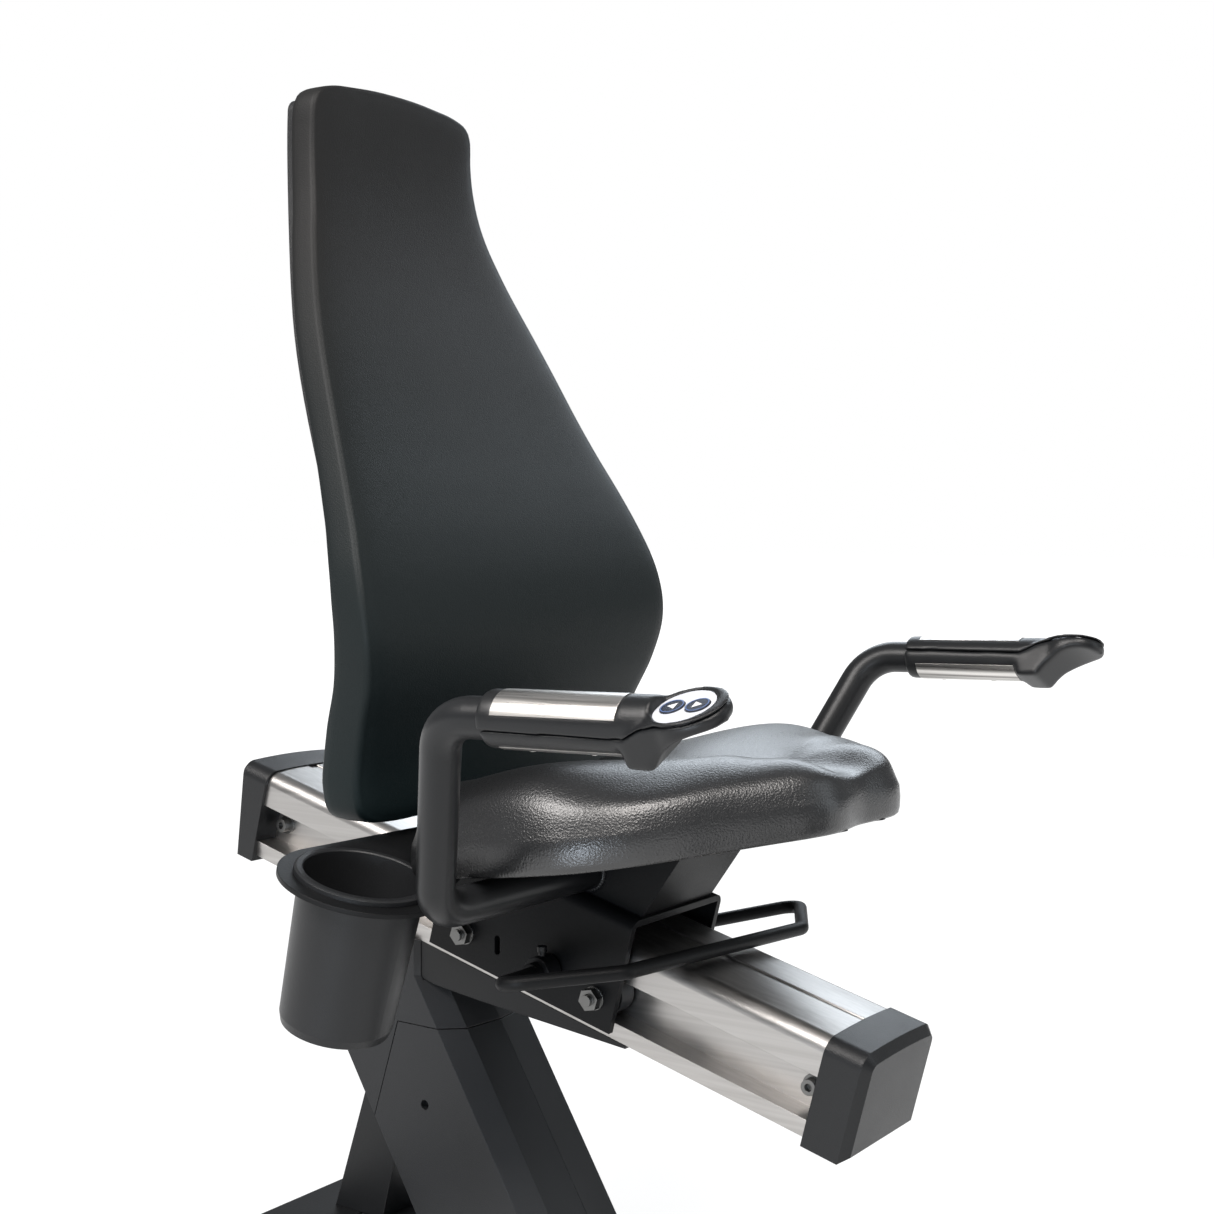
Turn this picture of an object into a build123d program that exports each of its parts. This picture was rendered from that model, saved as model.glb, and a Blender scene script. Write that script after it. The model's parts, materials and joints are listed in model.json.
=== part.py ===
from build123d import *
from math import atan2, cos, degrees, radians, sin, sqrt, tan
import os

# Recumbent exercise bike, in millimetres.
# +X is the way the rider faces, +Y is the rider's left, +Z is up; the floor is at Z = 0.
# Most side views are drawn from the rail datum: the middle of the seat rail's top surface.

# ---------------------------------------------------------------- driving dimensions
RAIL_HEIGHT = 400.0          # rail datum above the floor
RAIL_TILT = 14.6             # degrees, front end lower
RAIL_LENGTH = 626.0
RAIL_WIDTH = 114.4
RAIL_DEPTH = 87.0
RAIL_WALL = 5.0
GROOVE_TOP = 34.5            # side groove, measured down from the rail's top
GROOVE_BOTTOM = 71.5
GROOVE_DEPTH = 24.0

CAP_LENGTH = 40.0            # moulded caps on the rail's two ends
CAP_PROUD = 1.2
CAP_SKIRT = 5.0
CAP_CHAMFER = 7.0
CAP_SLANT = 13.0             # the rear cap's end face is cut back this much at its foot
CAP_PLUG = 28.0
CAP_SCREW_INSET = 13.0

SADDLE_REAR = -75.0          # carriage plate that straddles the rail
SADDLE_FRONT = 127.0
SADDLE_WIDTH = 140.0
SADDLE_TOP = 23.5
SADDLE_SKIRT = 77.0
SADDLE_PLATE = 6.0
SADDLE_BEND = 9.0
SEAT_BACK_TRAVEL = 210.0
SEAT_FRONT_TRAVEL = 150.0

ROLLER_REAR = -38.0          # stations of the two roller axles along the rail
ROLLER_FRONT = 106.0
ROLLER_GAP = 0.3
ROLLER_WIDTH = 17.4
ROLLER_BOLT = 10.0
NUT_ACROSS_FLATS = 17.0
RUNNING_FIT = 0.05
SEAT_GAP = 0.3               # clearance between a piece and the piece it is seated on

LEVER_STATION = 57.4         # pivot of the seat-release bail along and below the rail's top
LEVER_DROP = 46.0
LEVER_BAR = 12.0
LEVER_BEND = 14.0
LEVER_COLLAR = 26.0
LEVER_COLLAR_LENGTH = 17.0
LEVER_BUSH = 20.0
LEVER_BUSH_LENGTH = 4.0
CAM_RADIUS = 9.0

CUSHION_LENGTH = 366.0
CUSHION_WIDTH = 448.0
CUSHION_PITCH = 8.53         # degrees, nose up
CUSHION_BASE = 33.0          # underside above the datum, at the datum
PAN_THICKNESS = 10.0
PAN_INSET = 14.0

BACK_HEIGHT = 640.0
BACK_WIDTH = 430.0
BACK_TOP_WIDTH = 215.0
BACK_CUSHION = 28.0
BACK_SHELL = 10.0
BACK_SHELL_INSET = 3.0

HANDLE_SPAN = 655.4          # between the two armrest tubes
HANDLE_TUBE = 30.0
HANDLE_WALL = 2.5
HANDLE_BEND = 42.0
GRIP_DIAMETER = 41.0
GRIP_RISE = 1.5              # degrees
GRIP_ROLL = 24.0             # degrees, outwards
PLATE_SKIN = 1.0
PLATE_LENGTH = 101.5
PANEL_DIAMETER = 42.6
BUTTON_DIAMETER = 16.8
BUTTON_PITCH = 18.9
BUTTON_TRAVEL = 1.0
BUTTON_GAP = 0.4

CUP_STATION = -33.0
CUP_OFFSET = 228.0
CUP_MOUTH = 97.0
CUP_LIP = 112.0
CUP_BASE = 93.0
CUP_DEPTH = 129.0
CUP_WALL = 3.0
CUP_PLATE = 4.0
CUP_PLATE_RADIUS = 68.7

COLUMN_LEAN = 31.3           # degrees from upright
COLUMN_WIDTH = 120.0
COLUMN_DEPTH = 159.0
COLUMN_CHAMFER = 18.0
COLUMN_RIDGE = 4.4
SHROUD_WALL = 3.0
SEAM = 0.8
LEG_DEPTH = 70.0
LEG_WIDTH = 80.0
LEG_WALL = 5.0
REAR_LEG_LEAN = 18.4
REAR_LEG_DEPTH = 60.0
REAR_LEG_WIDTH = 66.0

BEAM_BASE = 15.0             # floor to the underside of the base tubes
BEAM_HEIGHT = 45.0
BEAM_WIDTH = 70.0
STABILIZER_DEPTH = 80.0
STABILIZER_SPAN = 640.0      # front cross tube
REAR_SPAN = 510.0
TUBE_WALL = 3.0
END_CAP = 14.0
FOOT_DIAMETER = 46.0
WHEEL_DIAMETER = 60.0
WHEEL_WIDTH = 22.0
WHEEL_SPACING = 400.0
WHEEL_LIFT = 6.0
WHEEL_STUB = 8.0

CRANK_REACH = 850.0          # rail datum to the crank's axis
FRONT_OVERHANG = 350.0       # from there to the front of the transport wheels
CRANK_DROP = 20.0
CRANK_LENGTH = 170.0
CRANK_AXLE = 20.0
CRANK_SPREAD = 190.0         # between the inner faces of the crank arms
CRANK_ARM = 16.0
PEDAL_WIDTH = 100.0
PEDAL_LENGTH = 104.0
PEDAL_SPINDLE = 14.0
PEDAL_COLLAR = 11.0
STRAP_WIDTH = 30.0
PULLEY_DIAMETER = 240.0
SMALL_PULLEY = 40.0
BELT_WIDTH = 12.0
BELT_THICKNESS = 3.0
BELT_GAP = 0.3
FLYWHEEL_REACH = 200.0       # from the crank's axis, forwards
FLYWHEEL_DROP = 40.0
FLYWHEEL_DIAMETER = 220.0
FLYWHEEL_THICKNESS = 26.0
FLYWHEEL_SHAFT = 17.0
BEARING_WALL = 10.0
BEARING_WIDTH = 12.0
DRIVE_PLATE = 8.0
HOUSING_WIDTH = 150.0
HOUSING_WALL = 3.0
MAST_DIAMETER = 60.0
CONSOLE_WIDTH = 360.0
CONSOLE_HEIGHT = 250.0
CONSOLE_DEPTH = 46.0
CONSOLE_TILT = 22.0

# ---------------------------------------------------------------- derived datums
TILT_COS, TILT_SIN = cos(radians(RAIL_TILT)), sin(radians(RAIL_TILT))
CAP_END = RAIL_LENGTH / 2 + CAP_LENGTH
CAP_BOTTOM = RAIL_DEPTH + CAP_SKIRT
CAP_HEEL = CAP_BOTTOM - CAP_CHAMFER
REAR_REACH = (CAP_END - CAP_SLANT * CAP_HEEL / CAP_BOTTOM) * TILT_COS + CAP_HEEL * TILT_SIN
FRONT_REACH = CRANK_REACH + FRONT_OVERHANG
RAIL_X = (REAR_REACH - FRONT_REACH) / 2      # puts the origin under the middle of the bike
RAIL_Z = RAIL_HEIGHT
BEAM_TOP = BEAM_BASE + BEAM_HEIGHT
LEAN = tan(radians(COLUMN_LEAN))

RAIL_DIR = (TILT_COS, 0, -TILT_SIN)
RAIL_UP = (TILT_SIN, 0, TILT_COS)


def at(x, z):
    """World (X, Z) of a point given forward of and above the rail datum."""
    return (RAIL_X + x, RAIL_Z + z)


def on_rail(s, n):
    """World (X, Z) of a point s along the rail and n above its top."""
    return (RAIL_X + s * TILT_COS + n * TILT_SIN, RAIL_Z - s * TILT_SIN + n * TILT_COS)


def rail_station(s):
    """Plane square to the rail at station s: local x is +Y, local y is up from the rail's top."""
    x, z = on_rail(s, 0)
    return Plane(origin=(x, 0, z), x_dir=(0, 1, 0), z_dir=RAIL_DIR)


def rail_level(n):
    """Plane parallel to the rail's top at height n: local x runs along the rail, local y is +Y."""
    x, z = on_rail(0, n)
    return Plane(origin=(x, 0, z), x_dir=RAIL_DIR, z_dir=RAIL_UP)


def prism(points, y0, y1, mode=Mode.ADD):
    """Extrude a closed side outline of world (X, Z) points from y0 to y1."""
    with BuildSketch(Plane.XZ.offset(-y1)) as outline:
        with BuildLine():
            Polyline(*points, close=True)
        make_face()
    extrude(to_extrude=outline.sketch, amount=y1 - y0, mode=mode)


def across(centre, radius, y0, y1, mode=Mode.ADD):
    """A cylinder that lies across the bike, from y0 to y1, about a world (X, Z) centre."""
    with BuildSketch(Plane.XZ.offset(-max(y0, y1))) as section:
        with Locations(centre):
            Circle(radius)
    extrude(to_extrude=section.sketch, amount=abs(y1 - y0), mode=mode)


def block(x0, x1, y0, y1, z0, z1, mode=Mode.ADD):
    """A box between world coordinates."""
    with Locations(((x0 + x1) / 2, (y0 + y1) / 2, (z0 + z1) / 2)):
        Box(abs(x1 - x0), abs(y1 - y0), abs(z1 - z0), mode=mode)


os.makedirs("parts", exist_ok=True)


def save(builder, label):
    """Label a finished sub-part and write its STEP file."""
    builder.part.label = label
    export_step(builder.part, f"parts/{label}.step")


# ---------------------------------------------------------------- seat rail
HALF_RAIL = RAIL_WIDTH / 2
GROOVE_FLOOR = HALF_RAIL - GROOVE_DEPTH
GROOVE_MIDDLE = (GROOVE_TOP + GROOVE_BOTTOM) / 2
TOP_ROUND = 14.0
CROWN = 1.5
TRACK = 6.5                  # half-width of the shallow channel along the rail's top
TRACK_DEPTH = 1.5
SCREW_RADIUS = 4.0
SCREW_STATION = RAIL_LENGTH / 2 - CAP_SCREW_INSET

with BuildPart() as rail:
    with BuildSketch(rail_station(-RAIL_LENGTH / 2)):
        with BuildLine():
            Polyline((0, -TRACK_DEPTH), (TRACK - 1, -TRACK_DEPTH), (TRACK, -0.1))
            shoulder = (HALF_RAIL - TOP_ROUND, -CROWN)
            ThreePointArc((TRACK, -0.1), (HALF_RAIL / 2, -0.5), shoulder)
            round_mid = (HALF_RAIL - TOP_ROUND * 0.29, -CROWN - (TOP_ROUND - CROWN) * 0.29)
            ThreePointArc(shoulder, round_mid, (HALF_RAIL, -TOP_ROUND))
            Polyline(
                (HALF_RAIL, -TOP_ROUND),
                (HALF_RAIL, -GROOVE_TOP),
                (GROOVE_FLOOR, -GROOVE_TOP),
                (GROOVE_FLOOR, -GROOVE_BOTTOM),
                (HALF_RAIL, -GROOVE_BOTTOM),
                (HALF_RAIL - 2.3, -RAIL_DEPTH),
                (0, -RAIL_DEPTH),
            )
            mirror(about=Plane.YZ)
        make_face()
        chamber = HALF_RAIL - RAIL_WALL
        neck = GROOVE_FLOOR - RAIL_WALL
        ceiling = -(TRACK_DEPTH + RAIL_WALL)
        with BuildLine():
            Polyline(
                (0, ceiling),
                (chamber - 7, ceiling - 1),
                (chamber, ceiling - 8),
                (chamber, -(GROOVE_TOP - RAIL_WALL)),
                (neck, -(GROOVE_TOP - RAIL_WALL)),
                (neck, -(GROOVE_BOTTOM + RAIL_WALL)),
                (chamber - 2, -(GROOVE_BOTTOM + RAIL_WALL)),
                (chamber - 3, -(RAIL_DEPTH - RAIL_WALL)),
                (0, -(RAIL_DEPTH - RAIL_WALL)),
            )
            mirror(about=Plane.YZ)
        make_face(mode=Mode.SUBTRACT)
    extrude(amount=RAIL_LENGTH)
    for station in (-SCREW_STATION, SCREW_STATION):
        across(on_rail(station, -GROOVE_MIDDLE), SCREW_RADIUS + 0.2, -HALF_RAIL, HALF_RAIL, Mode.SUBTRACT)


def rail_cap(direction, slant):
    """End cap with its end face cut back at the foot, and the tongue that plugs into the extrusion."""
    half = HALF_RAIL + CAP_PROUD + 2.4
    with BuildSketch(rail_station(direction * RAIL_LENGTH / 2)) as outline:
        with BuildLine():
            corner = (half - TOP_ROUND, CAP_PROUD - CROWN)
            ThreePointArc((-corner[0], corner[1]), (0, CAP_PROUD), corner)
            bend = (half - TOP_ROUND * 0.29, CAP_PROUD - CROWN - TOP_ROUND * 0.29)
            ThreePointArc(corner, bend, (half, CAP_PROUD - TOP_ROUND - 1))
            ThreePointArc((-corner[0], corner[1]), (-bend[0], bend[1]), (-half, CAP_PROUD - TOP_ROUND - 1))
            Polyline(
                (half, CAP_PROUD - TOP_ROUND - 1),
                (half, -CAP_BOTTOM),
                (-half, -CAP_BOTTOM),
                (-half, CAP_PROUD - TOP_ROUND - 1),
            )
        make_face()
    extrude(to_extrude=outline.sketch, amount=direction * CAP_LENGTH)
    wedge = [
        on_rail(direction * (CAP_END + 1), 1 + CAP_PROUD),
        on_rail(direction * CAP_END, CAP_PROUD),
        on_rail(direction * (CAP_END - slant), -CAP_BOTTOM - 1),
        on_rail(direction * (CAP_END + 1), -CAP_BOTTOM - 1),
    ]
    if slant > 0:
        prism(wedge, -RAIL_WIDTH, RAIL_WIDTH, Mode.SUBTRACT)
    far_face = faces().sort_by(Axis((0, 0, 0), RAIL_DIR))[-1 if direction > 0 else 0]
    chamfer(far_face.edges(), length=CAP_CHAMFER)
    tongue = GROOVE_FLOOR - RAIL_WALL - SEAT_GAP
    with BuildSketch(rail_station(direction * RAIL_LENGTH / 2)) as plug:
        with Locations((0, -GROOVE_MIDDLE)):
            Rectangle(2 * tongue, GROOVE_BOTTOM - GROOVE_TOP)
    extrude(to_extrude=plug.sketch, amount=-direction * CAP_PLUG)
    station = direction * SCREW_STATION
    across(on_rail(station, -GROOVE_MIDDLE), SCREW_RADIUS, -HALF_RAIL, HALF_RAIL, Mode.SUBTRACT)


with BuildPart() as rail_cap_front:
    rail_cap(1, 0)

with BuildPart() as rail_cap_rear:
    rail_cap(-1, CAP_SLANT)

# ---------------------------------------------------------------- rail bracket and legs
BRACKET_HALF = 55.0
BRACKET_PLATE = 5.0
BRACKET_DROP = 33.0
BRACKET_REAR = -215.0
BRACKET_NOSE = 137.0
bracket_outline = [
    on_rail(BRACKET_REAR, -RAIL_DEPTH),
    on_rail(BRACKET_NOSE, -RAIL_DEPTH),
    on_rail(BRACKET_NOSE, -RAIL_DEPTH - 3),
    on_rail(-23, -RAIL_DEPTH - 27),
    on_rail(-70, -RAIL_DEPTH - BRACKET_DROP),
    on_rail(BRACKET_REAR, -RAIL_DEPTH - BRACKET_DROP),
]
with BuildPart() as rail_bracket:
    prism(bracket_outline, -BRACKET_HALF, BRACKET_HALF)
    pocket = [
        on_rail(BRACKET_REAR - 1, -RAIL_DEPTH - BRACKET_PLATE),
        on_rail(BRACKET_NOSE - 70, -RAIL_DEPTH - BRACKET_PLATE),
        on_rail(-23, -RAIL_DEPTH - 27 + BRACKET_PLATE),
        on_rail(-70, -RAIL_DEPTH - BRACKET_DROP + BRACKET_PLATE),
        on_rail(BRACKET_REAR - 1, -RAIL_DEPTH - BRACKET_DROP + BRACKET_PLATE),
    ]
    prism(pocket, BRACKET_PLATE - BRACKET_HALF, BRACKET_HALF - BRACKET_PLATE, Mode.SUBTRACT)

SEAM_LEVEL = -137.0          # joint between the neck cover and the leg covers
NECK_LEVEL = -92.0           # where the column turns upright
COLUMN_FRONT = -71.4         # front face at the seam level
BEAM_LEVEL = BEAM_TOP - RAIL_HEIGHT


def column_x(level, at_seam):
    """Forward place of a line on the leaning column at a level, from its place at the seam."""
    return at_seam + (SEAM_LEVEL - max(min(level, NECK_LEVEL), BEAM_LEVEL)) * LEAN


COVER_SCREWS = [(-107.0, -209.0), (-36.0, -318.0)]
COVER_SCREW_RADIUS = 2.5
COVER_SCREW_HEAD = 4.3
LEG_CENTRE = -148.0
leg_rear, leg_front = LEG_CENTRE - LEG_DEPTH / 2, LEG_CENTRE + LEG_DEPTH / 2
LEG_KNEE = -115.0


def bracket_floor(x):
    """Height of the rail bracket's flat underside above a forward place x from the datum."""
    n = -RAIL_DEPTH - BRACKET_DROP
    return (n - x * TILT_SIN) / TILT_COS


with BuildPart() as main_leg:
    top_rear, top_front = column_x(LEG_KNEE, leg_rear), column_x(LEG_KNEE, leg_front)
    leg_outline = [
        at(column_x(BEAM_LEVEL, leg_rear), BEAM_LEVEL),
        at(column_x(BEAM_LEVEL, leg_front), BEAM_LEVEL),
        at(top_front, LEG_KNEE),
        at(top_front, bracket_floor(top_front)),
        at(top_rear, bracket_floor(top_rear)),
        at(top_rear, LEG_KNEE),
    ]
    prism(leg_outline, -LEG_WIDTH / 2, LEG_WIDTH / 2)
    leg_bore = [
        at(column_x(BEAM_LEVEL, leg_rear) + 7 - LEAN * 5, BEAM_LEVEL - 5),
        at(column_x(BEAM_LEVEL, leg_front) - 3, BEAM_LEVEL - 5),
        at(top_front - 6, LEG_KNEE - 3),
        at(top_front - LEG_WALL, bracket_floor(top_front) - LEG_WALL),
        at(top_rear + LEG_WALL, bracket_floor(top_rear) - LEG_WALL - 4),
        at(top_rear + LEG_WALL, LEG_KNEE - 2),
    ]
    prism(leg_bore, LEG_WALL - LEG_WIDTH / 2, LEG_WIDTH / 2 - LEG_WALL, Mode.SUBTRACT)
    for place in COVER_SCREWS:
        across(at(*place), COVER_SCREW_RADIUS, -LEG_WIDTH / 2, LEG_WIDTH / 2, Mode.SUBTRACT)


def rear_leg_outline(swell):
    """Side outline of the rear strut, grown by a clearance."""
    run = tan(radians(REAR_LEG_LEAN))
    foot_rear, foot_front = -244.0, -244.0 + REAR_LEG_DEPTH
    top = -165.0
    rear_top = foot_rear + (top - BEAM_LEVEL) * run
    weld_top = column_x(top, leg_rear)
    weld_low = -198.0
    return [
        at(foot_rear - swell, BEAM_LEVEL),
        at(foot_front + swell, BEAM_LEVEL),
        at(column_x(weld_low, leg_rear), weld_low - swell),
        at(weld_top, top + swell),
        at(rear_top - swell, top + swell),
    ]


with BuildPart() as rear_leg:
    prism(rear_leg_outline(0), -REAR_LEG_WIDTH / 2, REAR_LEG_WIDTH / 2)


def column_section(level, inset):
    """Faceted horizontal section of the leg column: a ridged front with wide chamfers."""
    front = RAIL_X + column_x(level, COLUMN_FRONT)
    rear = front - COLUMN_DEPTH
    half = COLUMN_WIDTH / 2
    with BuildSketch(Plane.XY.offset(RAIL_Z + level)) as section:
        with BuildLine():
            Polyline(
                (front + COLUMN_RIDGE, 0),
                (front, half - COLUMN_CHAMFER),
                (front - COLUMN_CHAMFER - 2.6, half),
                (rear + 6, half),
                (rear, half - 6),
                (rear, 6 - half),
                (rear + 6, -half),
                (front - COLUMN_CHAMFER - 2.6, -half),
                (front, COLUMN_CHAMFER - half),
                close=True,
            )
        make_face()
        if inset:
            offset(amount=-inset, mode=Mode.REPLACE)
    return section.sketch


def column(inset, mode=Mode.ADD):
    """The leaning column from the base beam up to the neck, then upright into the rail."""
    lean_dir = (sin(radians(COLUMN_LEAN)), 0, -cos(radians(COLUMN_LEAN)))
    drop = (NECK_LEVEL - BEAM_LEVEL) / cos(radians(COLUMN_LEAN))
    section = column_section(NECK_LEVEL, inset)
    extrude(to_extrude=section, amount=drop, dir=lean_dir, mode=mode)
    extrude(to_extrude=section, amount=110, dir=(0, 0, 1), mode=mode)


SEAM_REAR = (-139.0, SEAM_LEVEL)
SEAM_CROTCH = (-169.0, -233.0)


def neck_zone(gap):
    """Side outline of what belongs to the neck cover, above the seams."""
    return [
        at(-400, 150),
        at(200, 150),
        at(200, SEAM_LEVEL + gap),
        at(SEAM_REAR[0] - gap, SEAM_LEVEL + gap),
        at(SEAM_CROTCH[0] - gap, SEAM_CROTCH[1]),
        at(-400, SEAM_CROTCH[1]),
    ]


def column_passages():
    """Room through the covers for the rail, the rail bracket and the rear leg."""
    above_rail_foot = [
        on_rail(-500, -RAIL_DEPTH - SEAT_GAP),
        on_rail(500, -RAIL_DEPTH - SEAT_GAP),
        on_rail(500, 300),
        on_rail(-500, 300),
    ]
    prism(above_rail_foot, -200, 200, Mode.SUBTRACT)
    clear = BRACKET_HALF + SEAT_GAP
    nose = [
        on_rail(-150, -RAIL_DEPTH + 1),
        on_rail(BRACKET_NOSE, -RAIL_DEPTH + 1),
        on_rail(BRACKET_NOSE, -RAIL_DEPTH - 4),
        on_rail(-23, -RAIL_DEPTH - 28),
        on_rail(-70, -RAIL_DEPTH - BRACKET_DROP - 1),
        on_rail(-150, -RAIL_DEPTH - BRACKET_DROP - 1),
    ]
    prism(nose, -clear, clear, Mode.SUBTRACT)
    clear = REAR_LEG_WIDTH / 2 + 1
    prism(rear_leg_outline(1), -clear, clear, Mode.SUBTRACT)


with BuildPart() as leg_collar:
    column(0)
    column(SHROUD_WALL, Mode.SUBTRACT)
    prism(neck_zone(SEAM / 2), -200, 200, Mode.INTERSECT)
    column_passages()


def leg_cover(side):
    """One half of the leg cover; its bosses take the cover screws into the steel leg."""
    column(0)
    column(SHROUD_WALL, Mode.SUBTRACT)
    prism(neck_zone(-SEAM / 2), -200, 200, Mode.SUBTRACT)
    column_passages()
    wall = COLUMN_WIDTH / 2 - 1
    for place in COVER_SCREWS:
        across(at(*place), 8.0, side * LEG_WIDTH / 2, side * wall)
    inner = SEAM / 4 * side
    block(RAIL_X - 600, RAIL_X + 400, inner, side * 200, 0, RAIL_Z + 200, Mode.INTERSECT)
    for place in COVER_SCREWS:
        across(at(*place), COVER_SCREW_RADIUS, side * 30, side * 70, Mode.SUBTRACT)
        across(at(*place), COVER_SCREW_HEAD + 0.2, side * (LEG_WIDTH / 2 + 6), side * 70, Mode.SUBTRACT)


with BuildPart() as leg_shroud_right:
    leg_cover(-1)

with BuildPart() as leg_shroud_left:
    leg_cover(1)

with BuildPart() as socket_screws:
    head = 8.0
    for side in (-1, 1):
        for station in (-SCREW_STATION, SCREW_STATION):
            centre = on_rail(station, -GROOVE_MIDDLE)
            across(centre, SCREW_RADIUS, side * (GROOVE_FLOOR - 18), side * (GROOVE_FLOOR + 1))
            across(centre, 9.0, side * GROOVE_FLOOR, side * (GROOVE_FLOOR + 2))
            across(centre, 6.5, side * (GROOVE_FLOOR + 2), side * (GROOVE_FLOOR + 2 + head))
            across(centre, 3.2, side * (GROOVE_FLOOR + 5), side * (GROOVE_FLOOR + 12), Mode.SUBTRACT)
        for place in COVER_SCREWS:
            seat = side * (LEG_WIDTH / 2 + 6)
            across(at(*place), COVER_SCREW_RADIUS, side * (LEG_WIDTH / 2 - 3), seat)
            across(at(*place), COVER_SCREW_HEAD, seat, seat + side * 4)
            across(at(*place), 2.0, seat + side * 2, seat + side * 5, Mode.SUBTRACT)

# ---------------------------------------------------------------- base
REAR_STABILIZER = -250.0     # forward places of the two cross tubes, from the datum
STABILIZER_GAP = 2.0
FRONT_STABILIZER = FRONT_REACH - WHEEL_DIAMETER - STABILIZER_GAP - STABILIZER_DEPTH / 2


def cross_tube(x, length):
    """A rectangular tube across the bike."""
    half, span = STABILIZER_DEPTH / 2, length / 2
    centre = RAIL_X + x
    block(centre - half, centre + half, -span, span, BEAM_BASE, BEAM_TOP)
    corner = edges().filter_by(Axis.Y)
    fillet(corner, 5)
    inner = half - TUBE_WALL
    block(centre - inner, centre + inner, -span, span, BEAM_BASE + TUBE_WALL, BEAM_TOP - TUBE_WALL, Mode.SUBTRACT)


with BuildPart() as rear_stabilizer:
    cross_tube(REAR_STABILIZER, REAR_SPAN)

WHEEL_X = RAIL_X + FRONT_REACH - WHEEL_DIAMETER / 2
WHEEL_Z = WHEEL_DIAMETER / 2 + WHEEL_LIFT
EAR = 5.0
EAR_GAP = 0.5

with BuildPart() as front_stabilizer:
    cross_tube(FRONT_STABILIZER, STABILIZER_SPAN)
    face_x = RAIL_X + FRONT_STABILIZER + STABILIZER_DEPTH / 2
    for side in (-1, 1):
        for cheek in (-1, 1):
            near = side * WHEEL_SPACING / 2 + cheek * (WHEEL_WIDTH / 2 + EAR_GAP)
            far = near + cheek * EAR
            y0, y1 = min(near, far), max(near, far)
            ear = [
                (face_x, BEAM_BASE + 3),
                (face_x, BEAM_TOP - 4),
                (WHEEL_X + 6, WHEEL_Z + 12),
                (WHEEL_X + 12, WHEEL_Z),
                (WHEEL_X + 6, WHEEL_Z - 12),
            ]
            prism(ear, y0, y1)
            across((WHEEL_X, WHEEL_Z), WHEEL_STUB / 2 + RUNNING_FIT, y0, y1, Mode.SUBTRACT)

with BuildPart() as transport_wheels:
    for side in (-1, 1):
        middle = side * WHEEL_SPACING / 2
        across((WHEEL_X, WHEEL_Z), WHEEL_DIAMETER / 2, middle - WHEEL_WIDTH / 2, middle + WHEEL_WIDTH / 2)
        for face in (-1, 1):
            rim = middle + face * WHEEL_WIDTH / 2
            across((WHEEL_X, WHEEL_Z), WHEEL_DIAMETER / 2 - 7, rim - face * 3, rim, Mode.SUBTRACT)
            across((WHEEL_X, WHEEL_Z), 9.0, rim - face * 3, rim)
            across((WHEEL_X, WHEEL_Z), WHEEL_STUB / 2, rim, rim + face * (EAR_GAP + EAR))

with BuildPart() as base_beam:
    rear = RAIL_X + REAR_STABILIZER + STABILIZER_DEPTH / 2
    front = RAIL_X + FRONT_STABILIZER - STABILIZER_DEPTH / 2
    block(rear, front, -BEAM_WIDTH / 2, BEAM_WIDTH / 2, BEAM_BASE, BEAM_TOP)
    fillet(edges().filter_by(Axis.X), 5)
    bore = BEAM_WIDTH / 2 - TUBE_WALL
    block(rear, front, -bore, bore, BEAM_BASE + TUBE_WALL, BEAM_TOP - TUBE_WALL, Mode.SUBTRACT)

FOOT_INSET = 28.0
with BuildPart() as stabilizer_feet:
    for x, length in ((REAR_STABILIZER, REAR_SPAN), (FRONT_STABILIZER, STABILIZER_SPAN)):
        centre = RAIL_X + x
        half = STABILIZER_DEPTH / 2 + 1
        for side in (-1, 1):
            tip = side * length / 2
            with BuildSketch(Plane.XZ.offset(-tip)) as cover:
                with Locations((centre, BEAM_BASE + BEAM_HEIGHT / 2 - 2)):
                    RectangleRounded(2 * half, BEAM_HEIGHT + 6, 7)
            extrude(to_extrude=cover.sketch, amount=-side * END_CAP)
            block(centre - 20, centre + 20, tip - side * FOOT_INSET, tip + side * 6, 7, BEAM_BASE)
            with Locations((centre, tip - side * FOOT_INSET, 4.5)):
                Cylinder(FOOT_DIAMETER / 2, 9)

# ---------------------------------------------------------------- carriage
HALF_SADDLE = SADDLE_WIDTH / 2
INNER_SADDLE = HALF_SADDLE - SADDLE_PLATE
LEVER_AXIS = on_rail(LEVER_STATION, -LEVER_DROP)
BUSH_END = HALF_SADDLE + LEVER_BUSH_LENGTH

SLOT_WIDTH, SLOT_LENGTH = 6.0, 17.0
with BuildPart() as saddle:
    with BuildSketch(rail_station(SADDLE_REAR)):
        with Locations((0, SADDLE_TOP)):
            Rectangle(SADDLE_WIDTH, SADDLE_TOP + SADDLE_SKIRT, align=(Align.CENTER, Align.MAX))
        fillet(vertices().group_by(Axis.Y)[-1], SADDLE_BEND)
        with Locations((0, SADDLE_TOP - SADDLE_PLATE)):
            Rectangle(
                2 * INNER_SADDLE,
                SADDLE_TOP + SADDLE_SKIRT,
                align=(Align.CENTER, Align.MAX),
                mode=Mode.SUBTRACT,
            )
    extrude(amount=SADDLE_FRONT - SADDLE_REAR)
    for side in (-1, 1):
        across(LEVER_AXIS, LEVER_BUSH / 2, side * (INNER_SADDLE - 3), side * BUSH_END)
        across(LEVER_AXIS, LEVER_BAR / 2 + RUNNING_FIT, side * 50, side * 80, Mode.SUBTRACT)
    for station in (ROLLER_REAR, ROLLER_FRONT):
        centre = on_rail(station, -GROOVE_MIDDLE)
        across(centre, ROLLER_BOLT / 2, -HALF_SADDLE, HALF_SADDLE, Mode.SUBTRACT)
    slot_x, slot_z = on_rail(-2.0, -49.8)
    with BuildSketch(Plane.XZ.offset(-HALF_SADDLE)) as slot:
        with Locations((slot_x, slot_z)):
            SlotOverall(SLOT_LENGTH, SLOT_WIDTH, rotation=90)
    extrude(to_extrude=slot.sketch, amount=SADDLE_WIDTH, mode=Mode.SUBTRACT)

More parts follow.
